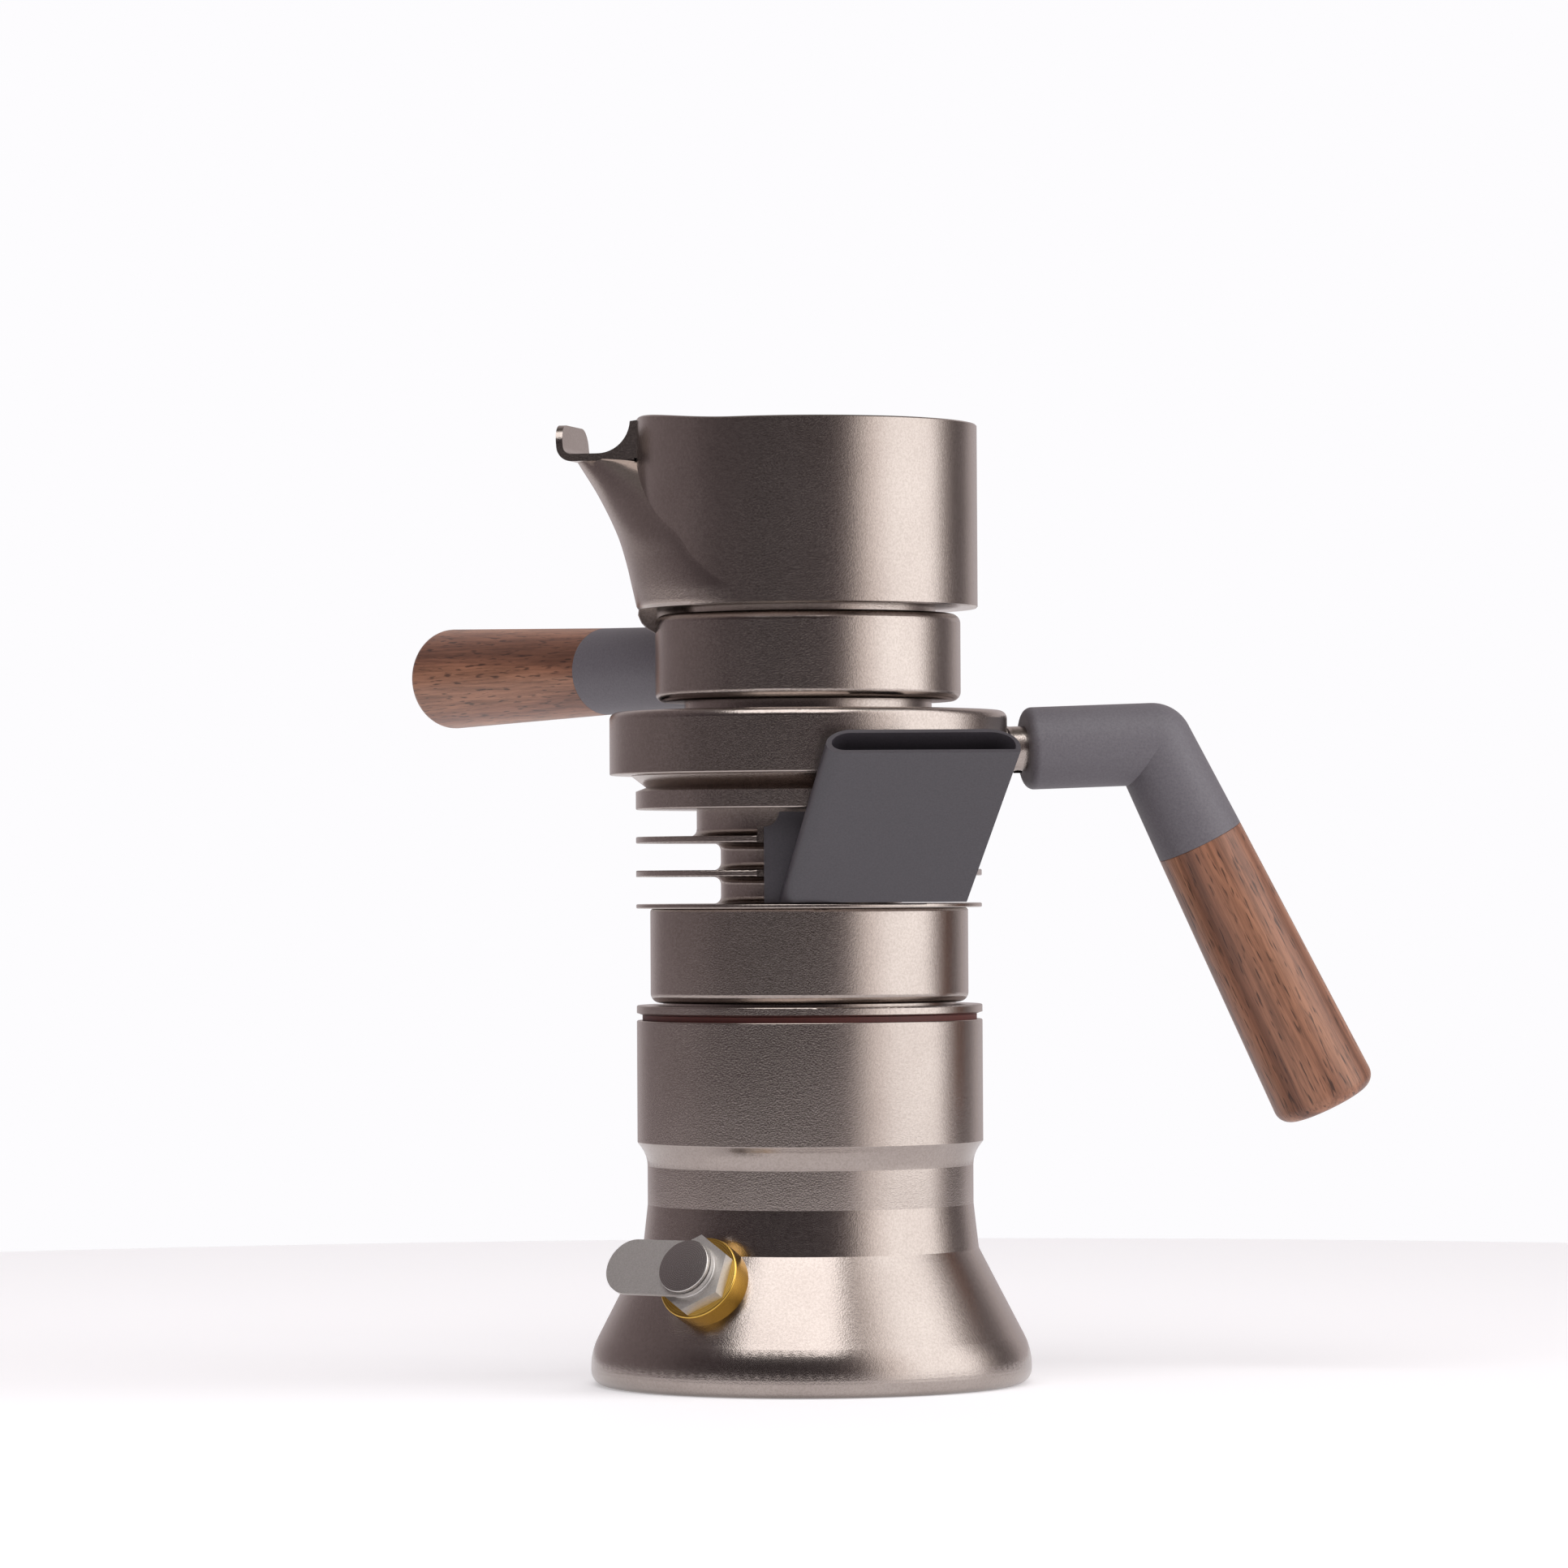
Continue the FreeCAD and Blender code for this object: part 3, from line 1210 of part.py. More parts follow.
def water_funnel():
    """Side funnel with its block, spigot and seal."""
    body = new_body("funnel_body", stack)
    low = f"({SINK_Z} + low_plate + funnel_start)"
    high = f"({low} + funnel_top)"
    tube = body.newObject("PartDesign::AdditiveLoft", "funnel_tube")
    tube.Profile = funnel_section(body, "funnel_foot", low, "0")
    tube.Sections = [funnel_section(body, "funnel_head", high, "0")]
    doc.recompute()
    base = f"({SINK_Z} + low_plate)"
    right = "(block_width - block_left)"
    top = f"({base} + block_height)"
    face = outline(body, "block_outline", "XZ_Plane", (
        ("-block_left", f"{base} + funnel_start"),
        (right, f"{base} + funnel_start"),
        (right, top),
        ("block_round - block_left", top),
        ("-block_left", f"{top} - block_round"),
    ), {3: "-block_round"}, "block_back")
    pad(body, "funnel_block", face, f"{FUNNEL_FRONT} - block_inset - block_back")
    inlet_z = f"({SINK_Z} + inlet_height)"
    spigot_end = "column_radius - inlet_depth"
    spigot = rings(body, "spigot_ring", "XZ_Plane", [("0", inlet_z, "inlet_radius")], spigot_end)
    pad(body, "funnel_spigot", spigot, "block_back + inlet_depth - column_radius")
    hollow = body.newObject("PartDesign::SubtractiveLoft", "funnel_hollow")
    hollow.Profile = funnel_section(body, "hollow_foot", f"({low} + funnel_floor)", "funnel_wall")
    hollow.Sections = [funnel_section(body, "hollow_head", f"({high} + funnel_floor)", "funnel_wall")]
    doc.recompute()
    bore = rings(body, "spigot_bore_ring", "XZ_Plane", [("0", inlet_z, "inlet_bore_radius")], spigot_end)
    pocket(body, "funnel_spigot_bore", bore,
           f"{FUNNEL_FRONT} - funnel_wall * 2 + inlet_depth - column_radius", reverse=True)
    rim_front = f"({FUNNEL_FRONT} + funnel_rim_front * tan(funnel_out_lean))"
    slope = "((funnel_rim_back - funnel_rim_front) / funnel_rim_span)"
    far = "(2 * funnel_depth)"
    rim = outline(body, "rim_outline", "YZ_Plane", (
        (f"-{rim_front} - {far}", f"{low} + funnel_rim_front - {far} * {slope}"),
        (f"-{rim_front} + {far}", f"{low} + funnel_rim_front + {far} * {slope}"),
        (f"-{rim_front} + {far}", f"{high} + {far}"),
        (f"-{rim_front} - {far}", f"{high} + {far}"),
    ))
    pocket(body, "funnel_rim", rim)
    keep(body, "water_funnel")
    turn = App.Rotation(App.Vector(1, 0, 0), 90)
    spot = App.Vector(0, -value("notch_back"), value(inlet_z))
    turned_piece("funnel_seal", (
        ("inlet_radius", "0"),
        ("inlet_seal_radius", "0"),
        ("inlet_seal_radius", "block_back - notch_back"),
        ("inlet_radius", "block_back - notch_back"),
    ), stack.multiply(App.Placement(spot, turn)))


lower_boiler()
safety_valve()
boiler_gasket()
boiler_head()
regulator()
second_boiler()
heat_exchanger()
heat_sink()
fasteners()
group_head()
coffee_chamber()
water_funnel()
body_handle()
jug_neck()
jug()
coffee_riser()
jug_handle()

doc.recompute()
faults = [item.Name for item in doc.Objects if {"Invalid", "Error"} & set(item.State)]
faults += [item.Label for item in pieces if item.Shape.isNull() or not item.Shape.isValid()]
if faults:
    raise RuntimeError(f"not sound: {faults}")
os.makedirs("parts", exist_ok=True)
for item in pieces:
    item.Shape.exportStep(f"parts/{item.Label}.step")
    print(f"{item.Label:24s}{item.Shape.Volume / 1000:9.2f} cm3")
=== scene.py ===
"""Twin-boiler stove-top espresso maker: finishes, fine meshes, studio and camera.

Lengths are in metres.  The pot's axis is Z and the elbow handle points along +X.
"""

import bmesh
import bpy
import json
import math
from mathutils import Matrix, Vector


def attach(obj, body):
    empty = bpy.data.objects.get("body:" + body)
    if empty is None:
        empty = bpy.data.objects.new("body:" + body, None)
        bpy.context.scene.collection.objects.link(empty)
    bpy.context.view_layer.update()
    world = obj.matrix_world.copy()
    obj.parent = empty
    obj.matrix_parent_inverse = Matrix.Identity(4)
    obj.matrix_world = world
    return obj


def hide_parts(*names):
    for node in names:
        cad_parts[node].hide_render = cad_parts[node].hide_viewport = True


MM = 0.001
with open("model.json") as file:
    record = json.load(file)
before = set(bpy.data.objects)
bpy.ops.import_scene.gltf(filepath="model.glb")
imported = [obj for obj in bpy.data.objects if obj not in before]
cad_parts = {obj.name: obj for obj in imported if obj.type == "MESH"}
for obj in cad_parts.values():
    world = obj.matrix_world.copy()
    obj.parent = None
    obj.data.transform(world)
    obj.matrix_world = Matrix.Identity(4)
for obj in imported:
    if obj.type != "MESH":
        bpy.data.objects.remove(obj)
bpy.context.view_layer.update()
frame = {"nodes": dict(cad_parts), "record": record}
nodes = frame["nodes"]

VIEW_AZIMUTH = math.radians(-11)      # the camera's direction round the pot, from -Y
SPOUT_TURN = math.radians(154)        # the jug's spout, from +X
JUG_HANDLE_TURN = math.radians(116)   # the jug's handle, from +X
WAVE_PERIOD = 6.3                     # features that a wave pattern's own scale puts into one period


# ---------------------------------------------------------------- materials

def linear(code):
    """Linear colour with alpha from an sRGB hex value."""
    parts = [int(code[i:i + 2], 16) / 255 for i in (1, 3, 5)]
    curve = [c / 12.92 if c <= 0.04045 else ((c + 0.055) / 1.055) ** 2.4 for c in parts]
    return (*curve, 1.0)


def add(tree, kind, settings=None, **links):
    """Add a node; settings are its properties and inputs by name, links are sockets or values."""
    node = tree.nodes.new(kind)
    for name, value in (settings or {}).items():
        if hasattr(node, name):
            setattr(node, name, value)
        else:
            node.inputs[name.replace("_", " ")].default_value = value
    for name, source in links.items():
        socket = node.inputs[int(name[1:])] if name[0] == "_" else node.inputs[name.replace("_", " ")]
        if isinstance(source, bpy.types.NodeSocket):
            tree.links.new(source, socket)
        else:
            socket.default_value = source
    return node


def ramp(tree, source, stops):
    """Colour ramp over (position, sRGB hex) stops."""
    node = add(tree, "ShaderNodeValToRGB", Fac=source)
    band = node.color_ramp
    band.elements.remove(band.elements[-1])
    band.elements[0].position = stops[0][0]
    band.elements[0].color = linear(stops[0][1])
    for place, code in stops[1:]:
        band.elements.new(place).color = linear(code)
    return node.outputs["Color"]


def mixed(tree, share, low, high, blend="MIX"):
    """Mix of two colours, each a socket or an sRGB hex value."""
    low, high = (linear(end) if isinstance(end, str) else end for end in (low, high))
    node = add(tree, "ShaderNodeMix", {"data_type": "RGBA", "blend_type": blend}, _0=share, _6=low, _7=high)
    return node.outputs[2]


def per_metre(size_mm):
    """Pattern scale for a feature of the given size."""
    return 1 / (size_mm * MM)


def new_material(name, **settings):
    """Material with a Principled shader; returns it with its tree, shader and object position."""
    material = bpy.data.materials.new(name)
    material.use_nodes = True
    tree = material.node_tree
    shader = tree.nodes["Principled BSDF"]
    for key, value in settings.items():
        shader.inputs[key.replace("_", " ")].default_value = value
    spot = add(tree, "ShaderNodeTexCoord").outputs["Object"]
    return material, tree, shader, spot


def bump(tree, shader, height, strength, depth_mm):
    """Relief of the given depth on the shader."""
    relief = add(tree, "ShaderNodeBump", {"Strength": strength, "Distance": depth_mm * MM}, Height=height)
    tree.links.new(relief.outputs["Normal"], shader.inputs["Normal"])


def gloss_varies(tree, shader, grain, rough):
    """Roughness that follows the grain between two values."""
    gloss = add(tree, "ShaderNodeMapRange", {"To_Min": rough[0], "To_Max": rough[1]}, Value=grain)
    tree.links.new(gloss.outputs["Result"], shader.inputs["Roughness"])


def blasted_nickel(name, dark, pale, rough=(0.18, 0.27)):
    """Nickel plate over bead-blasted aluminium: a warm satin sheen that breaks into fine glitter."""
    material, tree, shader, spot = new_material(name, Metallic=1.0)
    # The blasted grain and pits are about 0.1 mm; they are drawn at 0.55 and 0.35 mm so that they show
    grain = add(tree, "ShaderNodeTexNoise", {"Scale": per_metre(0.55), "Detail": 3.0, "Roughness": 0.75},
                Vector=spot)
    pits = add(tree, "ShaderNodeTexVoronoi", {"Scale": per_metre(0.35)}, Vector=spot)
    cloud = add(tree, "ShaderNodeTexNoise", {"Scale": per_metre(22), "Detail": 2.0}, Vector=spot)
    tone = mixed(tree, cloud.outputs["Fac"], dark, pale)
    speck = ramp(tree, grain.outputs["Fac"], ((0.36, "#b4b0ac"), (0.60, "#ffffff")))
    colour = mixed(tree, 0.3, tone, speck, "MULTIPLY")
    tree.links.new(colour, shader.inputs["Base Color"])
    gloss_varies(tree, shader, grain.outputs["Fac"], rough)
    height = add(tree, "ShaderNodeMath", {"operation": "ADD"}, _0=grain.outputs["Fac"],
                 _1=pits.outputs["Distance"])
    bump(tree, shader, height.outputs["Value"], 0.42, 0.03)
    return material


def walnut():
    """Oiled walnut: dark figure along the grip, short open pores and a soft satin oil."""
    material, tree, shader, spot = new_material("oiled_walnut", Roughness=0.42, Coat_Weight=0.12,
                                                Coat_Roughness=0.3)
    stretch = add(tree, "ShaderNodeMapping", {"Scale": (1.0, 1.0, 0.09)}, Vector=spot)
    # Growth rings about 5 mm apart, wandering slowly down the grip
    drift = add(tree, "ShaderNodeTexNoise", {"Scale": per_metre(14), "Detail": 2.0},
                Vector=stretch.outputs["Vector"])
    ring = add(tree, "ShaderNodeTexWave", {"Scale": per_metre(26), "Distortion": 5.0, "Detail": 3.0,
               "Detail_Scale": 1.6, "bands_direction": "X"}, Vector=stretch.outputs["Vector"])
    blend = add(tree, "ShaderNodeMath", {"operation": "MULTIPLY_ADD"}, _0=ring.outputs["Fac"], _1=0.45,
                _2=drift.outputs["Fac"])
    figure = ramp(tree, blend.outputs["Value"], (
        (0.30, "#65402f"), (0.52, "#825540"), (0.72, "#9a684f"), (0.95, "#a9765a"),
    ))
    fibre_map = add(tree, "ShaderNodeMapping", {"Scale": (1.0, 1.0, 0.035)}, Vector=spot)
    fibre = add(tree, "ShaderNodeTexNoise", {"Scale": per_metre(0.9), "Detail": 4.0, "Roughness": 0.7},
                Vector=fibre_map.outputs["Vector"])
    streak = ramp(tree, fibre.outputs["Fac"], ((0.35, "#a0968f"), (0.62, "#ffffff")))
    pore_map = add(tree, "ShaderNodeMapping", {"Scale": (1.0, 1.0, 0.11)}, Vector=spot)
    pore = add(tree, "ShaderNodeTexNoise", {"Scale": per_metre(0.55), "Detail": 1.0},
               Vector=pore_map.outputs["Vector"])
    pores = ramp(tree, pore.outputs["Fac"], ((0.30, "#66594e"), (0.40, "#ffffff")))
    streaked = mixed(tree, 0.75, figure, streak, "MULTIPLY")
    colour = mixed(tree, 0.8, streaked, pores, "MULTIPLY")
    tree.links.new(colour, shader.inputs["Base Color"])
    bump(tree, shader, pore.outputs["Fac"], 0.25, 0.08)
    return material


def speckled(name, dark, pale, grain_mm, rough, strength, depth_mm, **settings):
    """Matte finish with a fine grain in its colour, gloss and relief."""
    material, tree, shader, spot = new_material(name, **settings)
    grain = add(tree, "ShaderNodeTexNoise", {"Scale": per_metre(grain_mm), "Detail": 3.0, "Roughness": 0.65},
                Vector=spot)
    shade = ramp(tree, grain.outputs["Fac"], ((0.30, dark), (0.70, pale)))
    tree.links.new(shade, shader.inputs["Base Color"])
    gloss_varies(tree, shader, grain.outputs["Fac"], rough)
    bump(tree, shader, grain.outputs["Fac"], strength, depth_mm)
    return material


def turned_metal(name, dark, pale, groove_mm, rough, strength):
    """Lathe-turned metal: fine rings round the piece's own Z that draw the highlight into a fan."""
    material, tree, shader, spot = new_material(name, Metallic=1.0, Roughness=rough)
    wave = add(tree, "ShaderNodeTexWave", {"wave_type": "RINGS", "rings_direction": "Z",
               "Scale": per_metre(groove_mm * WAVE_PERIOD), "Distortion": 0.6, "Detail": 2.0}, Vector=spot)
    shade = ramp(tree, wave.outputs["Fac"], ((0.0, dark), (1.0, pale)))
    tree.links.new(shade, shader.inputs["Base Color"])
    bump(tree, shader, wave.outputs["Fac"], strength, 0.02)
    return material


# Stamped, cast and drawn steel share one even blasted finish: pale, soft, with no line of the tool
blasted_steel = speckled("blasted_stainless", "#bcb8b4", "#d2cecb", 0.35, (0.42, 0.56), 0.3, 0.03,
                         Metallic=1.0)
finishes = {
    "nickel": blasted_nickel("blasted_nickel_plate", "#a0958f", "#b4aaa4"),
    "steel": blasted_steel,
    "spring_steel": blasted_steel,
    # Yellow, with fine tool rings that fan the highlight round the bush
    "brass": turned_metal("turned_brass", "#c39a45", "#dcb765", 0.25, 0.24, 0.08),
    # Faced end disc and stem, whose rings catch the light as it turns
    "turned_steel": turned_metal("turned_stainless", "#a5a09c", "#c4c0bc", 0.22, 0.26, 0.12),
    # Nearly black, with a dull metal edge
    "dark_steel": speckled("blackened_steel", "#1d1b1c", "#2a2829", 0.3, (0.4, 0.5), 0.2, 0.02, Metallic=1.0),
    # Deep red line between two pale metals, quite matte
    "silicone": speckled("red_silicone", "#4d1a14", "#5e241c", 0.6, (0.5, 0.65), 0.2, 0.02),
    # Dark violet grey with a faint mould texture and a soft sheen on its edges
    "black_plastic": speckled("moulded_nylon", "#3b373d", "#464248", 0.4, (0.34, 0.46), 0.2, 0.03, IOR=1.6),
    # Mid grey, dry and even, with the orange peel of sprayed powder
    "dark_metal": speckled("matte_powder_coat", "#5e5a60", "#6e6a70", 0.5, (0.50, 0.62), 0.35, 0.03),
    "walnut": walnut(),
}
slot_of = {part["node"]: part["material_slot"] for part in frame["record"]["subparts"]}
for node, piece in nodes.items():
    piece.data.materials.clear()
    piece.data.materials.append(finishes[slot_of[node]])


# ---------------------------------------------------------------- mesh tools

def piece_of(name, mesh, slot, smooth=35):
    """Link a mesh as a smooth-shaded object with its slot's finish."""
    mesh.validate()
    mesh.shade_smooth()
    mesh.set_sharp_from_angle(angle=math.radians(smooth))
    mesh.materials.clear()
    mesh.materials.append(finishes[slot])
    piece = bpy.data.objects.new(name, mesh)
    bpy.context.scene.collection.objects.link(piece)
    return piece


def fit(piece, body, slot, *replaced):
    """Let a placed piece ride on its body in place of CAD nodes."""
    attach(piece, body)
    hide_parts(*replaced)


def aim(point, direction):
    """Matrix whose Z runs along the direction from the point."""
    turn = Vector(direction).to_track_quat("Z", "Y").to_matrix().to_4x4()
    return Matrix.Translation(Vector(point)) @ turn


def rounded(corners, steps=6):
    """Outline of (r, z) points from corners of (r, z, radius), with each corner as an arc."""
    outline = []
    for index, (r, z, radius) in enumerate(corners):
        here = Vector((r, z))
        if not radius:
            outline.append(here)
            continue
        before = Vector(corners[index - 1][:2]) - here
        after = Vector(corners[(index + 1) % len(corners)][:2]) - here
        half = before.angle(after) / 2
        reach = radius / math.tan(half)
        centre = here + (before.normalized() + after.normalized()).normalized() * (radius / math.sin(half))
        start = here + before.normalized() * reach - centre
        finish = here + after.normalized() * reach - centre
        turn = start.angle_signed(finish)
        for step in range(steps + 1):
            spoke = start.copy()
            spoke.rotate(Matrix.Rotation(-turn * step / steps, 2))
            outline.append(centre + spoke)
    return outline


def lathe(name, corners, segments=128, steps=6):
    """Closed turned mesh from an outline that may start and end on the axis."""
    outline = rounded(corners, steps)
    data = bmesh.new()
    rows = []
    for point in outline:
        if point.x < 1e-7:
            rows.append([data.verts.new((0, 0, point.y))])
            continue
        angles = [2 * math.pi * step / segments for step in range(segments)]
        rows.append([data.verts.new((point.x * math.cos(a), point.x * math.sin(a), point.y))
                     for a in angles])
    for index, low in enumerate(rows):
        high = rows[(index + 1) % len(rows)]
        if len(low) == 1 and len(high) == 1:
            continue
        for step in range(segments):
            after = (step + 1) % segments
            if len(low) == 1:
                face = (low[0], high[after], high[step])
            elif len(high) == 1:
                face = (low[step], low[after], high[0])
            else:
                face = (low[step], low[after], high[after], high[step])
            data.faces.new(face)
    return solid(name, data)


def solid(name, data):
    """Mesh from bmesh data with its faces turned outwards."""
    bmesh.ops.recalc_face_normals(data, faces=data.faces)
    mesh = bpy.data.meshes.new(name)
    data.to_mesh(mesh)
    data.free()
    return mesh


def bridge(data, low, high):
    """Faces between two closed rows of vertices."""
    for step in range(len(low)):
        after = (step + 1) % len(low)
        data.faces.new((low[step], low[after], high[after], high[step]))


def closed_rings(name, rings):
    """Closed mesh through rings of equal count, where the last ring joins the first."""
    data = bmesh.new()
    rows = [[data.verts.new(point) for point in ring] for ring in rings]
    for index, low in enumerate(rows):
        bridge(data, low, rows[(index + 1) % len(rows)])
    bmesh.ops.remove_doubles(data, verts=data.verts, dist=1e-6)
    return solid(name, data)


def stack(rows):
    """Open bmesh through rows of points, capped at both ends."""
    data = bmesh.new()
    verts = [[data.verts.new(point) for point in row] for row in rows]
    data.faces.new(verts[0])
    data.faces.new(verts[-1])
    for low, high in zip(verts, verts[1:]):
        bridge(data, low, high)
    return data


def extruded(profile, low, high):
    """Profile of (x, z) points in mm pulled along Y."""
    return stack([[(x * MM, y * MM, z * MM) for x, z in profile] for y in (low, high)])


# ---------------------------------------------------------------- jug

# Sizes in mm; heights count from the jug's underside
JUG_Z = 178.09                  # underside of the jug
JUG_R = 39.2
JUG_WALL = 1.9
JUG_FLOOR = 2.0
JUG_RIM = 42.2
RISER_HOLE = 5                  # radius of the hole that the riser fills
FOOT_ROUND = 0.35               # rounding round the underside
RIM_ROUND = 0.3
FLOOR_ROUND = 1.2               # rounding between floor and wall
SPOUT_RIM = 44.2                # the rim climbs to this height at the spout
SPOUT_LOW, SPOUT_HIGH = 0.8, 35.2
HOLLOW_LOW, HOLLOW_HIGH = 8.0, 34.9
CHANNEL = 36.2                  # the gap in the wall starts here
SHELF = 34.7                    # underside of the pouring lip
SHELF_TOP = 36.4
LIP_IN = 38.4                   # the lip starts inside the wall
LIP_TOP = 43.3
LIP_ROUND = 4.2                 # rounding of the upturned end's corners
LIP_HALF = 10.5
CHANNEL_HALF = 8.7
CHEEK_IN = 37.6                 # the cheeks start inside the wall
CHEEK_X, CHEEK_ROUND = 47.2, 7.8
NARROW = math.radians(12.5)     # half the angle of the spout's share of columns
GAP = math.radians(13.2)        # half the angle of the gap in the wall
SPOUT_COLUMNS = 28              # on each side of the spout's middle
WALL_COLUMNS = 118
# Outside of the spout as circles: height, distance of the centre from the axis, radius
SPOUT = ((SPOUT_LOW, 0.3, 39.15), (5.0, 1.6, 38.84), (11.0, 4.6, 37.35), (17.5, 10.1, 34.1),
         (26.5, 26.8, 22.3), (SPOUT_HIGH, 44.5, 10.5))
# Section of the lug that hangs from the underside below the spout: radius, height
LUG = ((34.9, -5.7), (35.6, -5.2), (37.0, -4.4), (38.3, -3.0), (39.1, -1.2), (38.9, 0.6), (34.9, 0.6))


def spout_circle(height):
    """Centre and radius at a height, on a smooth curve through the spout's circles."""
    heights = [row[0] for row in SPOUT]
    last = len(SPOUT) - 2
    index = max(0, min(last, sum(height >= h for h in heights) - 1))
    share = (height - heights[index]) / (heights[index + 1] - heights[index])
    rows = [SPOUT[max(index - 1, 0)], SPOUT[index], SPOUT[index + 1], SPOUT[min(index + 2, len(SPOUT) - 1)]]
    result = []
    for column in (1, 2):
        span = rows[2][0] - rows[1][0]
        slope_in = (rows[2][column] - rows[0][column]) / (rows[2][0] - rows[0][0]) * span
        slope_out = (rows[3][column] - rows[1][column]) / (rows[3][0] - rows[1][0]) * span
        a, b = rows[1][column], rows[2][column]
        result.append(a + share * slope_in + share ** 2 * (3 * (b - a) - 2 * slope_in - slope_out)
                      + share ** 3 * (2 * (a - b) + slope_in + slope_out))
    return result


def rim_height(angle):
    """The rim is level behind and climbs towards the spout."""
    share = max(0.0, min(1.0, (math.radians(80) - abs(angle)) / math.radians(52)))
    return JUG_RIM + (SPOUT_RIM - JUG_RIM) * share * share * (3 - 2 * share)


def crossing(radius, centre, reach):
    """Angle from the spout's direction at which a spout circle meets a wall of the given radius."""
    cosine = (radius ** 2 + centre ** 2 - reach ** 2) / (2 * radius * centre)
    return math.acos(max(-1.0, min(1.0, cosine)))


def jug_ring(radius, height, circle=None, edge=NARROW, gap=None):
    """Ring of points: the spout's share of columns, then the wall's; gap is the height in the channel."""
    if circle:
        centre, reach = circle
        edge = crossing(radius, centre, reach)
    ring = []
    for step in range(2 * SPOUT_COLUMNS + 1):
        angle = edge * (step / SPOUT_COLUMNS - 1)
        far = radius
        if circle:
            far = centre * math.cos(angle) + math.sqrt(reach ** 2 - (centre * math.sin(angle)) ** 2)
        ring.append((max(far, radius), angle, gap))
    start = edge + math.radians(0.2)
    for step in range(WALL_COLUMNS + 1):
        ring.append((radius, start + (2 * math.pi - 2 * start) * step / WALL_COLUMNS, None))
    points = []
    for far, angle, low in ring:
        wrapped = (angle + math.pi) % (2 * math.pi) - math.pi
        level = low or (height(wrapped) if callable(height) else height)
        points.append((far * math.cos(angle) * MM, far * math.sin(angle) * MM, level * MM))
    return points


def make_jug():
    """Jug with its spout towards +X and its underside at zero."""
    inner = JUG_R - JUG_WALL
    low_edge = math.radians(80)
    floor_edge = math.radians(60)
    outer_steps, hollow_steps, cheek_steps = 40, 23, 12

    def below_rim(angle):
        """Where the rim's rounding starts."""
        return rim_height(angle) - RIM_ROUND

    rings = [jug_ring(RISER_HOLE, 0, edge=low_edge), jug_ring(JUG_R - FOOT_ROUND, 0, edge=low_edge),
             jug_ring(JUG_R, FOOT_ROUND, edge=low_edge)]
    for step in range(outer_steps + 1):
        height = SPOUT_LOW + (SPOUT_HIGH - SPOUT_LOW) * step / outer_steps
        rings.append(jug_ring(JUG_R, height, spout_circle(height)))
    top = spout_circle(SPOUT_HIGH)
    rings.append(jug_ring(JUG_R, CHANNEL, top))
    rings.append(jug_ring(JUG_R, CHANNEL, edge=crossing(JUG_R, *top)))
    # Over the rim; in the gap the rings stay a little apart, so that none of them merge
    rings.append(jug_ring(JUG_R, below_rim, edge=GAP, gap=CHANNEL + 0.05))
    rings.append(jug_ring(JUG_R - RIM_ROUND, rim_height, edge=GAP, gap=CHANNEL + 0.1))
    rings.append(jug_ring(inner + RIM_ROUND, rim_height, edge=GAP, gap=CHANNEL + 0.1))
    rings.append(jug_ring(inner, below_rim, edge=GAP, gap=CHANNEL + 0.05))
    hollow = []
    for step in range(hollow_steps + 1):
        height = HOLLOW_HIGH - (HOLLOW_HIGH - HOLLOW_LOW) * step / hollow_steps
        centre, reach = spout_circle(height)
        hollow.append((height, (centre, reach - JUG_WALL)))
    rings.append(jug_ring(inner, HOLLOW_HIGH, edge=crossing(inner, *hollow[0][1])))
    rings += [jug_ring(inner, height, circle) for height, circle in hollow]
    for radius, height in ((inner, HOLLOW_LOW - 1), (inner, JUG_FLOOR + FLOOR_ROUND),
                           (inner - FLOOR_ROUND, JUG_FLOOR), (RISER_HOLE, JUG_FLOOR)):
        rings.append(jug_ring(radius, height, edge=floor_edge))
    data = bmesh.new()
    data.from_mesh(closed_rings("bowl", rings))
    data.from_mesh(pouring_lip())
    # Cheeks beside the channel, cut back in an arc between the rim and the shelf
    sweep = [math.radians(184 + 86 * step / cheek_steps) for step in range(cheek_steps + 1)]
    cheek = [(CHEEK_IN, SPOUT_RIM - 0.3)]
    cheek += [(CHEEK_X + CHEEK_ROUND * math.cos(a), SPOUT_RIM + CHEEK_ROUND * math.sin(a)) for a in sweep]
    cheek += [(CHEEK_X, SHELF + 0.4), (CHEEK_IN, SHELF + 0.4)]
    for side in (-1, 1):
        inside, outside = sorted((side * CHANNEL_HALF, side * (LIP_HALF - 0.01)))
        data.from_mesh(solid("cheek", extruded(cheek, inside, outside)))
    jug = piece_of("jug_and_spout", solid("jug_and_spout", data), "nickel", smooth=32)
    jug.matrix_world = Matrix.Translation((0, 0, JUG_Z * MM)) @ Matrix.Rotation(SPOUT_TURN, 4, "Z")
    fit(jug, "jug_assembly", "nickel", "jug")
    rows = []
    for degrees in range(-22, 23, 2):
        angle = math.radians(degrees)
        rows.append([(r * math.cos(angle) * MM, r * math.sin(angle) * MM, z * MM) for r, z in LUG])
    lug = piece_of("jug_lug", solid("jug_lug", stack(rows)), "nickel")
    lug.matrix_world = jug.matrix_world
    fit(lug, "jug_assembly", "nickel", "jug")


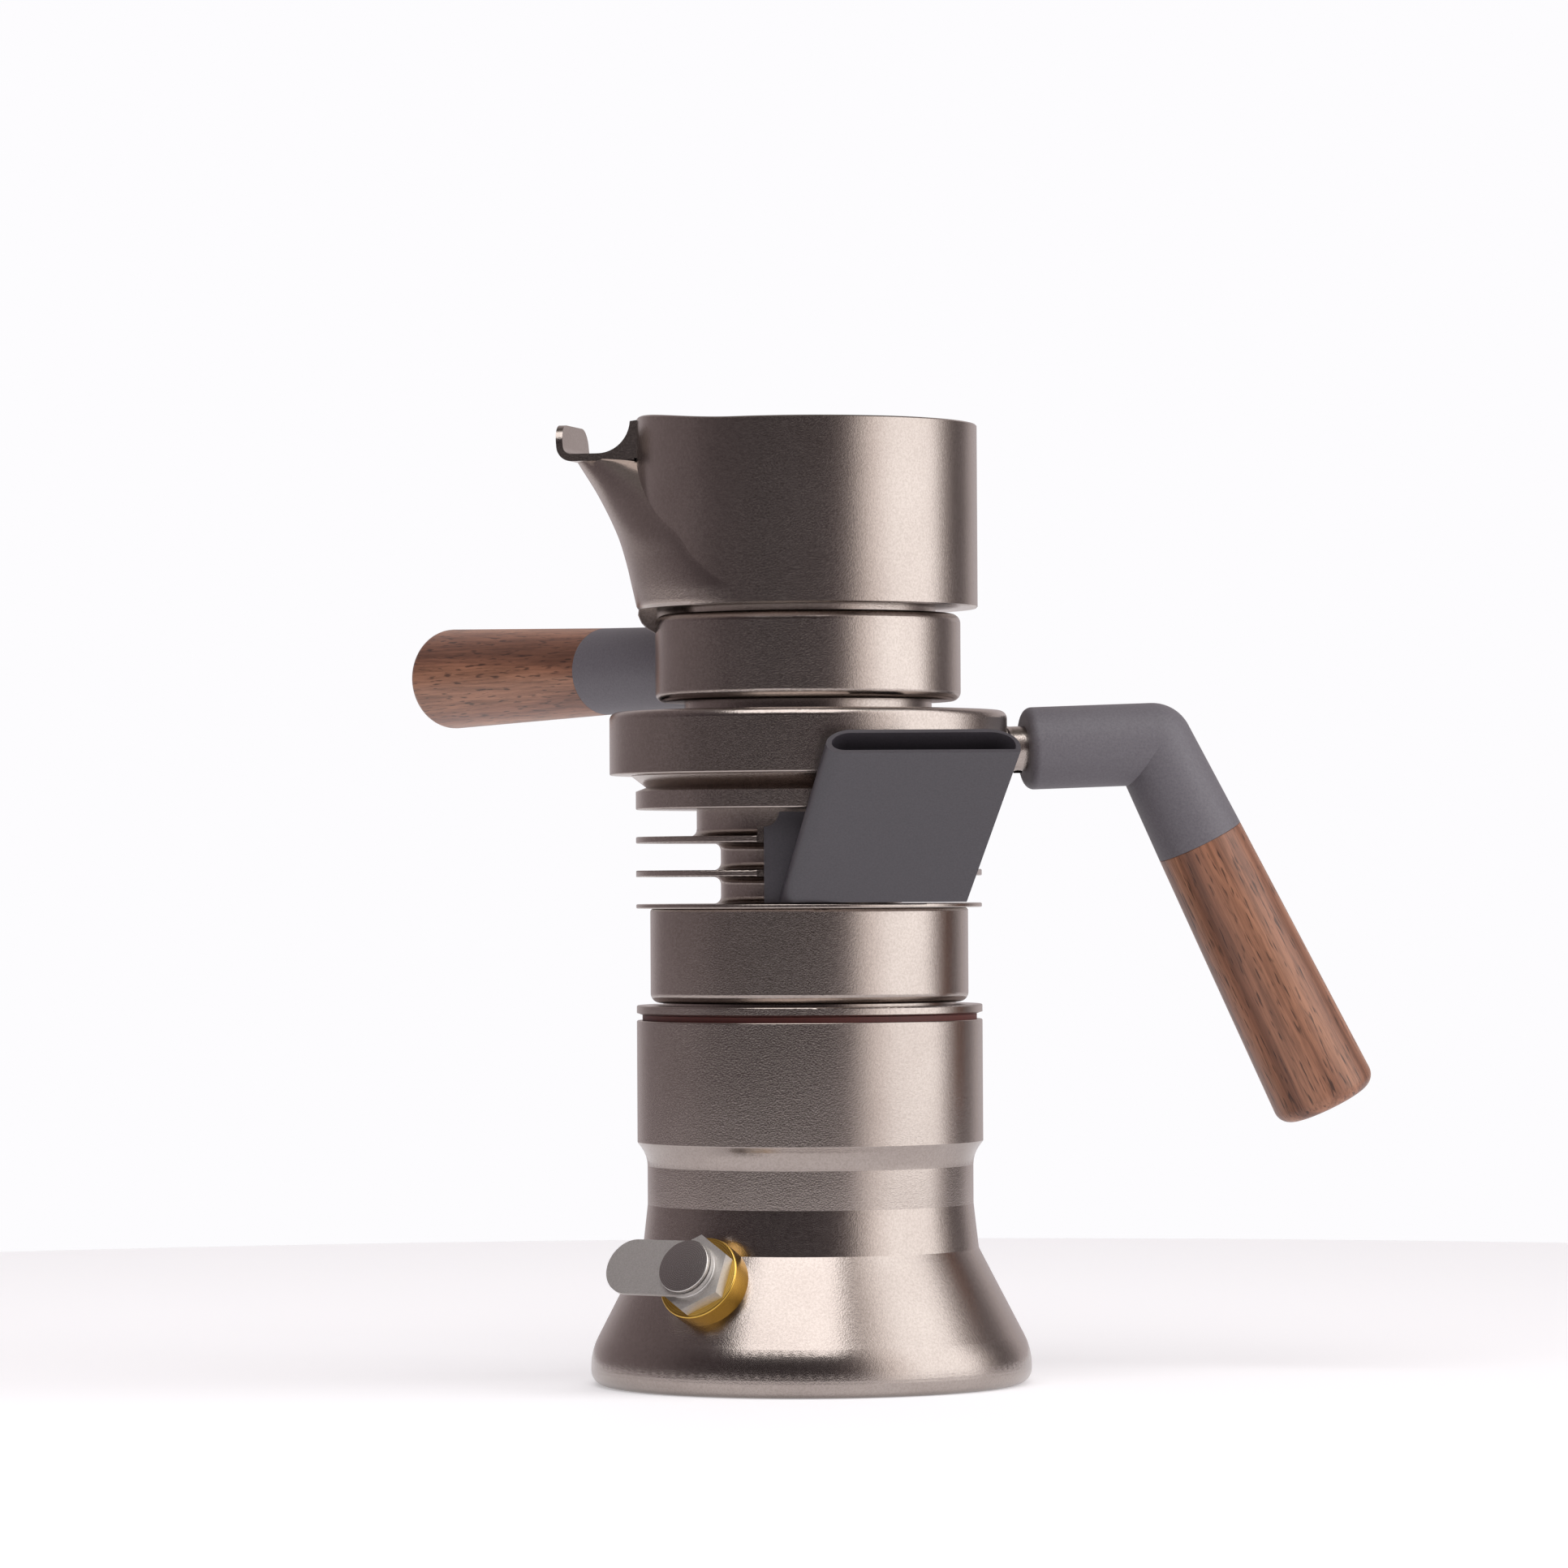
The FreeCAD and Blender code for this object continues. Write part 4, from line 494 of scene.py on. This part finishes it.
def pouring_lip():
    """Shelf of the spout with its upturned end, whose top corners are rounded."""
    def bend(x, z, radius, start, finish, steps=8):
        """Arc of points between two angles in degrees."""
        angles = [math.radians(start + (finish - start) * step / steps) for step in range(steps + 1)]
        return [(x + radius * math.cos(a), z + radius * math.sin(a)) for a in angles]
    profile = [(LIP_IN, SHELF)] + bend(53.6, SHELF + 3.6, 3.6, -90, -4)
    profile += [(57.6, LIP_TOP), (56.0, LIP_TOP)]
    profile += bend(53.7, SHELF_TOP + 1.9, 1.9, -4, -90) + [(LIP_IN, SHELF_TOP)]
    data = extruded(profile, -LIP_HALF, LIP_HALF)
    corners = [edge for edge in data.edges
               if all(v.co.z > (LIP_TOP - 0.1) * MM for v in edge.verts)
               and abs(edge.verts[0].co.y - edge.verts[1].co.y) < 1e-6]
    bmesh.ops.bevel(data, geom=corners, offset=LIP_ROUND * MM, segments=8, profile=0.5, affect="EDGES")
    return solid("lip", data)


# ---------------------------------------------------------------- wooden grips

GRIP_THIN, GRIP_THICK = 10.4, 12.35     # radii at the metal and at the free end
GRIP_LENGTH = 68.7
BORE_R, BORE_DEPTH = 2.5, 45            # blind bore for the threaded rod
ELBOW = (81.5, 0, 146.94)               # where the elbow's two axes cross
ELBOW_SLOPE = math.radians(26.5)        # of the lower arm, from straight down
ELBOW_ARM = 25.3                        # from the elbow's corner to the grip
JUG_GRIP_R, JUG_GRIP_Z = 79.9, 165.99   # where the jug's grip starts


def grips():
    """Turned grips with the figure of the wood running along each of them."""
    down = Vector((math.sin(ELBOW_SLOPE), 0, -math.cos(ELBOW_SLOPE)))
    out = Vector((math.cos(JUG_HANDLE_TURN), math.sin(JUG_HANDLE_TURN), 0))
    spots = {
        "body_handle_grip": ("upper_body", (Vector(ELBOW) + down * ELBOW_ARM) * MM, down),
        "jug_handle_grip": ("jug_assembly", (out * JUG_GRIP_R + Vector((0, 0, JUG_GRIP_Z))) * MM, out),
    }
    corners = [(BORE_R, 0, 0), (GRIP_THIN, 0, 0.25), (GRIP_THICK, GRIP_LENGTH, 3.5), (0, GRIP_LENGTH, 0),
               (0, BORE_DEPTH, 0), (BORE_R, BORE_DEPTH, 0)]
    for node, (body, point, way) in spots.items():
        mesh = lathe(node, [(r * MM, z * MM, round_mm * MM) for r, z, round_mm in corners], steps=10)
        piece = piece_of(node + "_turned", mesh, "walnut")
        piece.matrix_world = aim(point, way)
        fit(piece, body, "walnut", node)


# ---------------------------------------------------------------- safety valve

VALVE_LEAN = math.radians(27.3)         # of its axis, up from level
VALVE_TURN = math.radians(225.5)
VALVE_R, VALVE_Z = 42.03, 24.5          # where its axis leaves the flare
# Sections about the valve's axis: radius, distance along it, rounding
BUSH = ((2.0, -4.6, 0), (6.0, -4.6, 0), (6.0, -1.1, 0), (9.9, -1.1, 0), (9.9, 4.5, 0.35), (3.5, 4.5, 0),
        (3.5, -3.8, 0), (2.0, -3.8, 0))
STEM = ((0, -3.8, 0), (3.1, -3.8, 0), (3.1, -2.6, 0), (1.9, -2.6, 0), (1.9, 9.9, 0), (6.35, 9.9, 0.2),
        (6.35, 11.0, 0.25), (0, 11.0, 0))


def valve_metal():
    """Brass bush and turned stem of the safety valve, about their own axis."""
    level = Vector((math.cos(VALVE_TURN), math.sin(VALVE_TURN), 0))
    out = level * math.cos(VALVE_LEAN) + Vector((0, 0, math.sin(VALVE_LEAN)))
    point = (level * VALVE_R + Vector((0, 0, VALVE_Z))) * MM
    for node, body, slot, corners in (("valve_bush", "lower_boiler", "brass", BUSH),
                                      ("valve_stem", "safety_valve", "turned_steel", STEM)):
        mesh = lathe(node, [(r * MM, z * MM, round_mm * MM) for r, z, round_mm in corners])
        piece = piece_of(node + "_turned", mesh, slot)
        piece.matrix_world = aim(point, out)
        fit(piece, body, slot, node)


make_jug()
grips()
valve_metal()

# ---------------------------------------------------------------- studio and camera

MIDDLE = Vector((0, 0, 0.11))      # of the pot
TABLE_R = 0.62
WORLD_STRENGTH = 2.3


def ground():
    """Round pale table top under the pot."""
    bpy.ops.mesh.primitive_circle_add(vertices=128, radius=TABLE_R, fill_type="NGON", location=(0, 0, 0))
    floor = bpy.context.object
    floor.name = "studio_floor"
    # Matte white that glows a little, so that only a faint line parts it from the paper behind
    material, _, shader, _ = new_material("white_table", Roughness=0.7)
    shader.inputs["Base Color"].default_value = linear("#e8e7ea")
    shader.inputs["Emission Color"].default_value = linear("#fdfcfe")
    shader.inputs["Emission Strength"].default_value = 0.35
    floor.data.materials.append(material)


def studio_light():
    """Soft surroundings fixed in the room: dark flags in front, a tall strip softbox to the right."""
    world = bpy.data.worlds.new("studio")
    bpy.context.scene.world = world
    world.use_nodes = True
    tree = world.node_tree
    tree.nodes.clear()
    spot = add(tree, "ShaderNodeTexCoord").outputs["Generated"]
    turned = add(tree, "ShaderNodeMapping", {"Rotation": (0, 0, -VIEW_AZIMUTH)}, Vector=spot)
    axes = add(tree, "ShaderNodeSeparateXYZ", Vector=turned.outputs["Vector"])
    front = add(tree, "ShaderNodeMath", {"operation": "MULTIPLY"}, _0=axes.outputs["Y"], _1=-1.0)
    around = add(tree, "ShaderNodeMath", {"operation": "ARCTAN2"}, _0=axes.outputs["X"],
                 _1=front.outputs["Value"])
    share = add(tree, "ShaderNodeMapRange", {"From_Min": -math.pi, "From_Max": math.pi},
                Value=around.outputs["Value"])
    # Going round from behind the pot by the left, the front and the right, in degrees from the front
    side = ramp(tree, share.outputs["Result"], [(0.5 + angle / 360, code) for angle, code in (
        (-180, "#8d8687"), (-156, "#857e7f"), (-136, "#675f61"), (-88, "#544d4f"), (-66, "#393335"),
        (-30, "#282426"), (14, "#2c2729"), (27, "#4e4748"), (44, "#d8d2cf"), (60, "#ffffff"), (93, "#ffffff"),
        (105, "#8f8887"), (116, "#494344"), (130, "#565051"), (146, "#979090"), (180, "#8d8687"),
    )])
    lift = add(tree, "ShaderNodeMapRange", {"From_Min": 0.75, "From_Max": 0.95}, Value=axes.outputs["Z"])
    above = mixed(tree, lift.outputs["Result"], side, "#504d4b")
    # Beyond its disc the pale table goes on, as downward faces see it
    sink = add(tree, "ShaderNodeMapRange", {"From_Min": -0.06, "From_Max": -0.22}, Value=axes.outputs["Z"])
    below = mixed(tree, sink.outputs["Result"], above, "#bdb9b9")
    glow = add(tree, "ShaderNodeBackground", {"Strength": WORLD_STRENGTH}, Color=below)
    paper = add(tree, "ShaderNodeBackground", {"Strength": 1.0, "Color": linear("#fdfcfe")})
    sight = add(tree, "ShaderNodeLightPath")
    mix = add(tree, "ShaderNodeMixShader", _0=sight.outputs["Is Camera Ray"],
              _1=glow.outputs["Background"], _2=paper.outputs["Background"])
    out = add(tree, "ShaderNodeOutputWorld")
    tree.links.new(mix.outputs["Shader"], out.inputs["Surface"])


def softbox(name, azimuth, elevation, distance, size, power):
    """Area light aimed at the pot's middle; azimuth counts from the camera's side, to the right."""
    light = bpy.data.lights.new(name, "AREA")
    light.shape = "RECTANGLE"
    light.size, light.size_y = size
    light.energy = power
    lamp = bpy.data.objects.new(name, light)
    bpy.context.scene.collection.objects.link(lamp)
    turn = VIEW_AZIMUTH + math.radians(azimuth)
    up = math.radians(elevation)
    way = Vector((math.sin(turn) * math.cos(up), -math.cos(turn) * math.cos(up), math.sin(up)))
    lamp.matrix_world = aim(MIDDLE + way * distance, way)


def camera():
    """Long lens at hob height, looking slightly up."""
    distance = 1.539
    height = 0.1154
    data = bpy.data.cameras.new("camera")
    data.sensor_width = 36.0
    data.lens = 153.35
    eye = bpy.data.objects.new("camera", data)
    bpy.context.scene.collection.objects.link(eye)
    back = Vector((math.sin(VIEW_AZIMUTH), -math.cos(VIEW_AZIMUTH), 0))
    place = back * distance + Vector((0, 0, height))
    yaw, pitch, roll = (math.radians(turn) for turn in (0.21, 90.835, -0.3))
    eye.matrix_world = (
        Matrix.Translation(place)
        @ Matrix.Rotation(VIEW_AZIMUTH + yaw, 4, "Z")
        @ Matrix.Rotation(pitch, 4, "X")
        @ Matrix.Rotation(roll, 4, "Z")
    )
    data.clip_start = 0.05
    data.clip_end = 50
    bpy.context.scene.camera = eye


ground()
studio_light()
softbox("top_softbox", azimuth=-14, elevation=58, distance=1.2, size=(1.15, 0.9), power=9)
camera()
bpy.context.scene.view_settings.view_transform = "Standard"
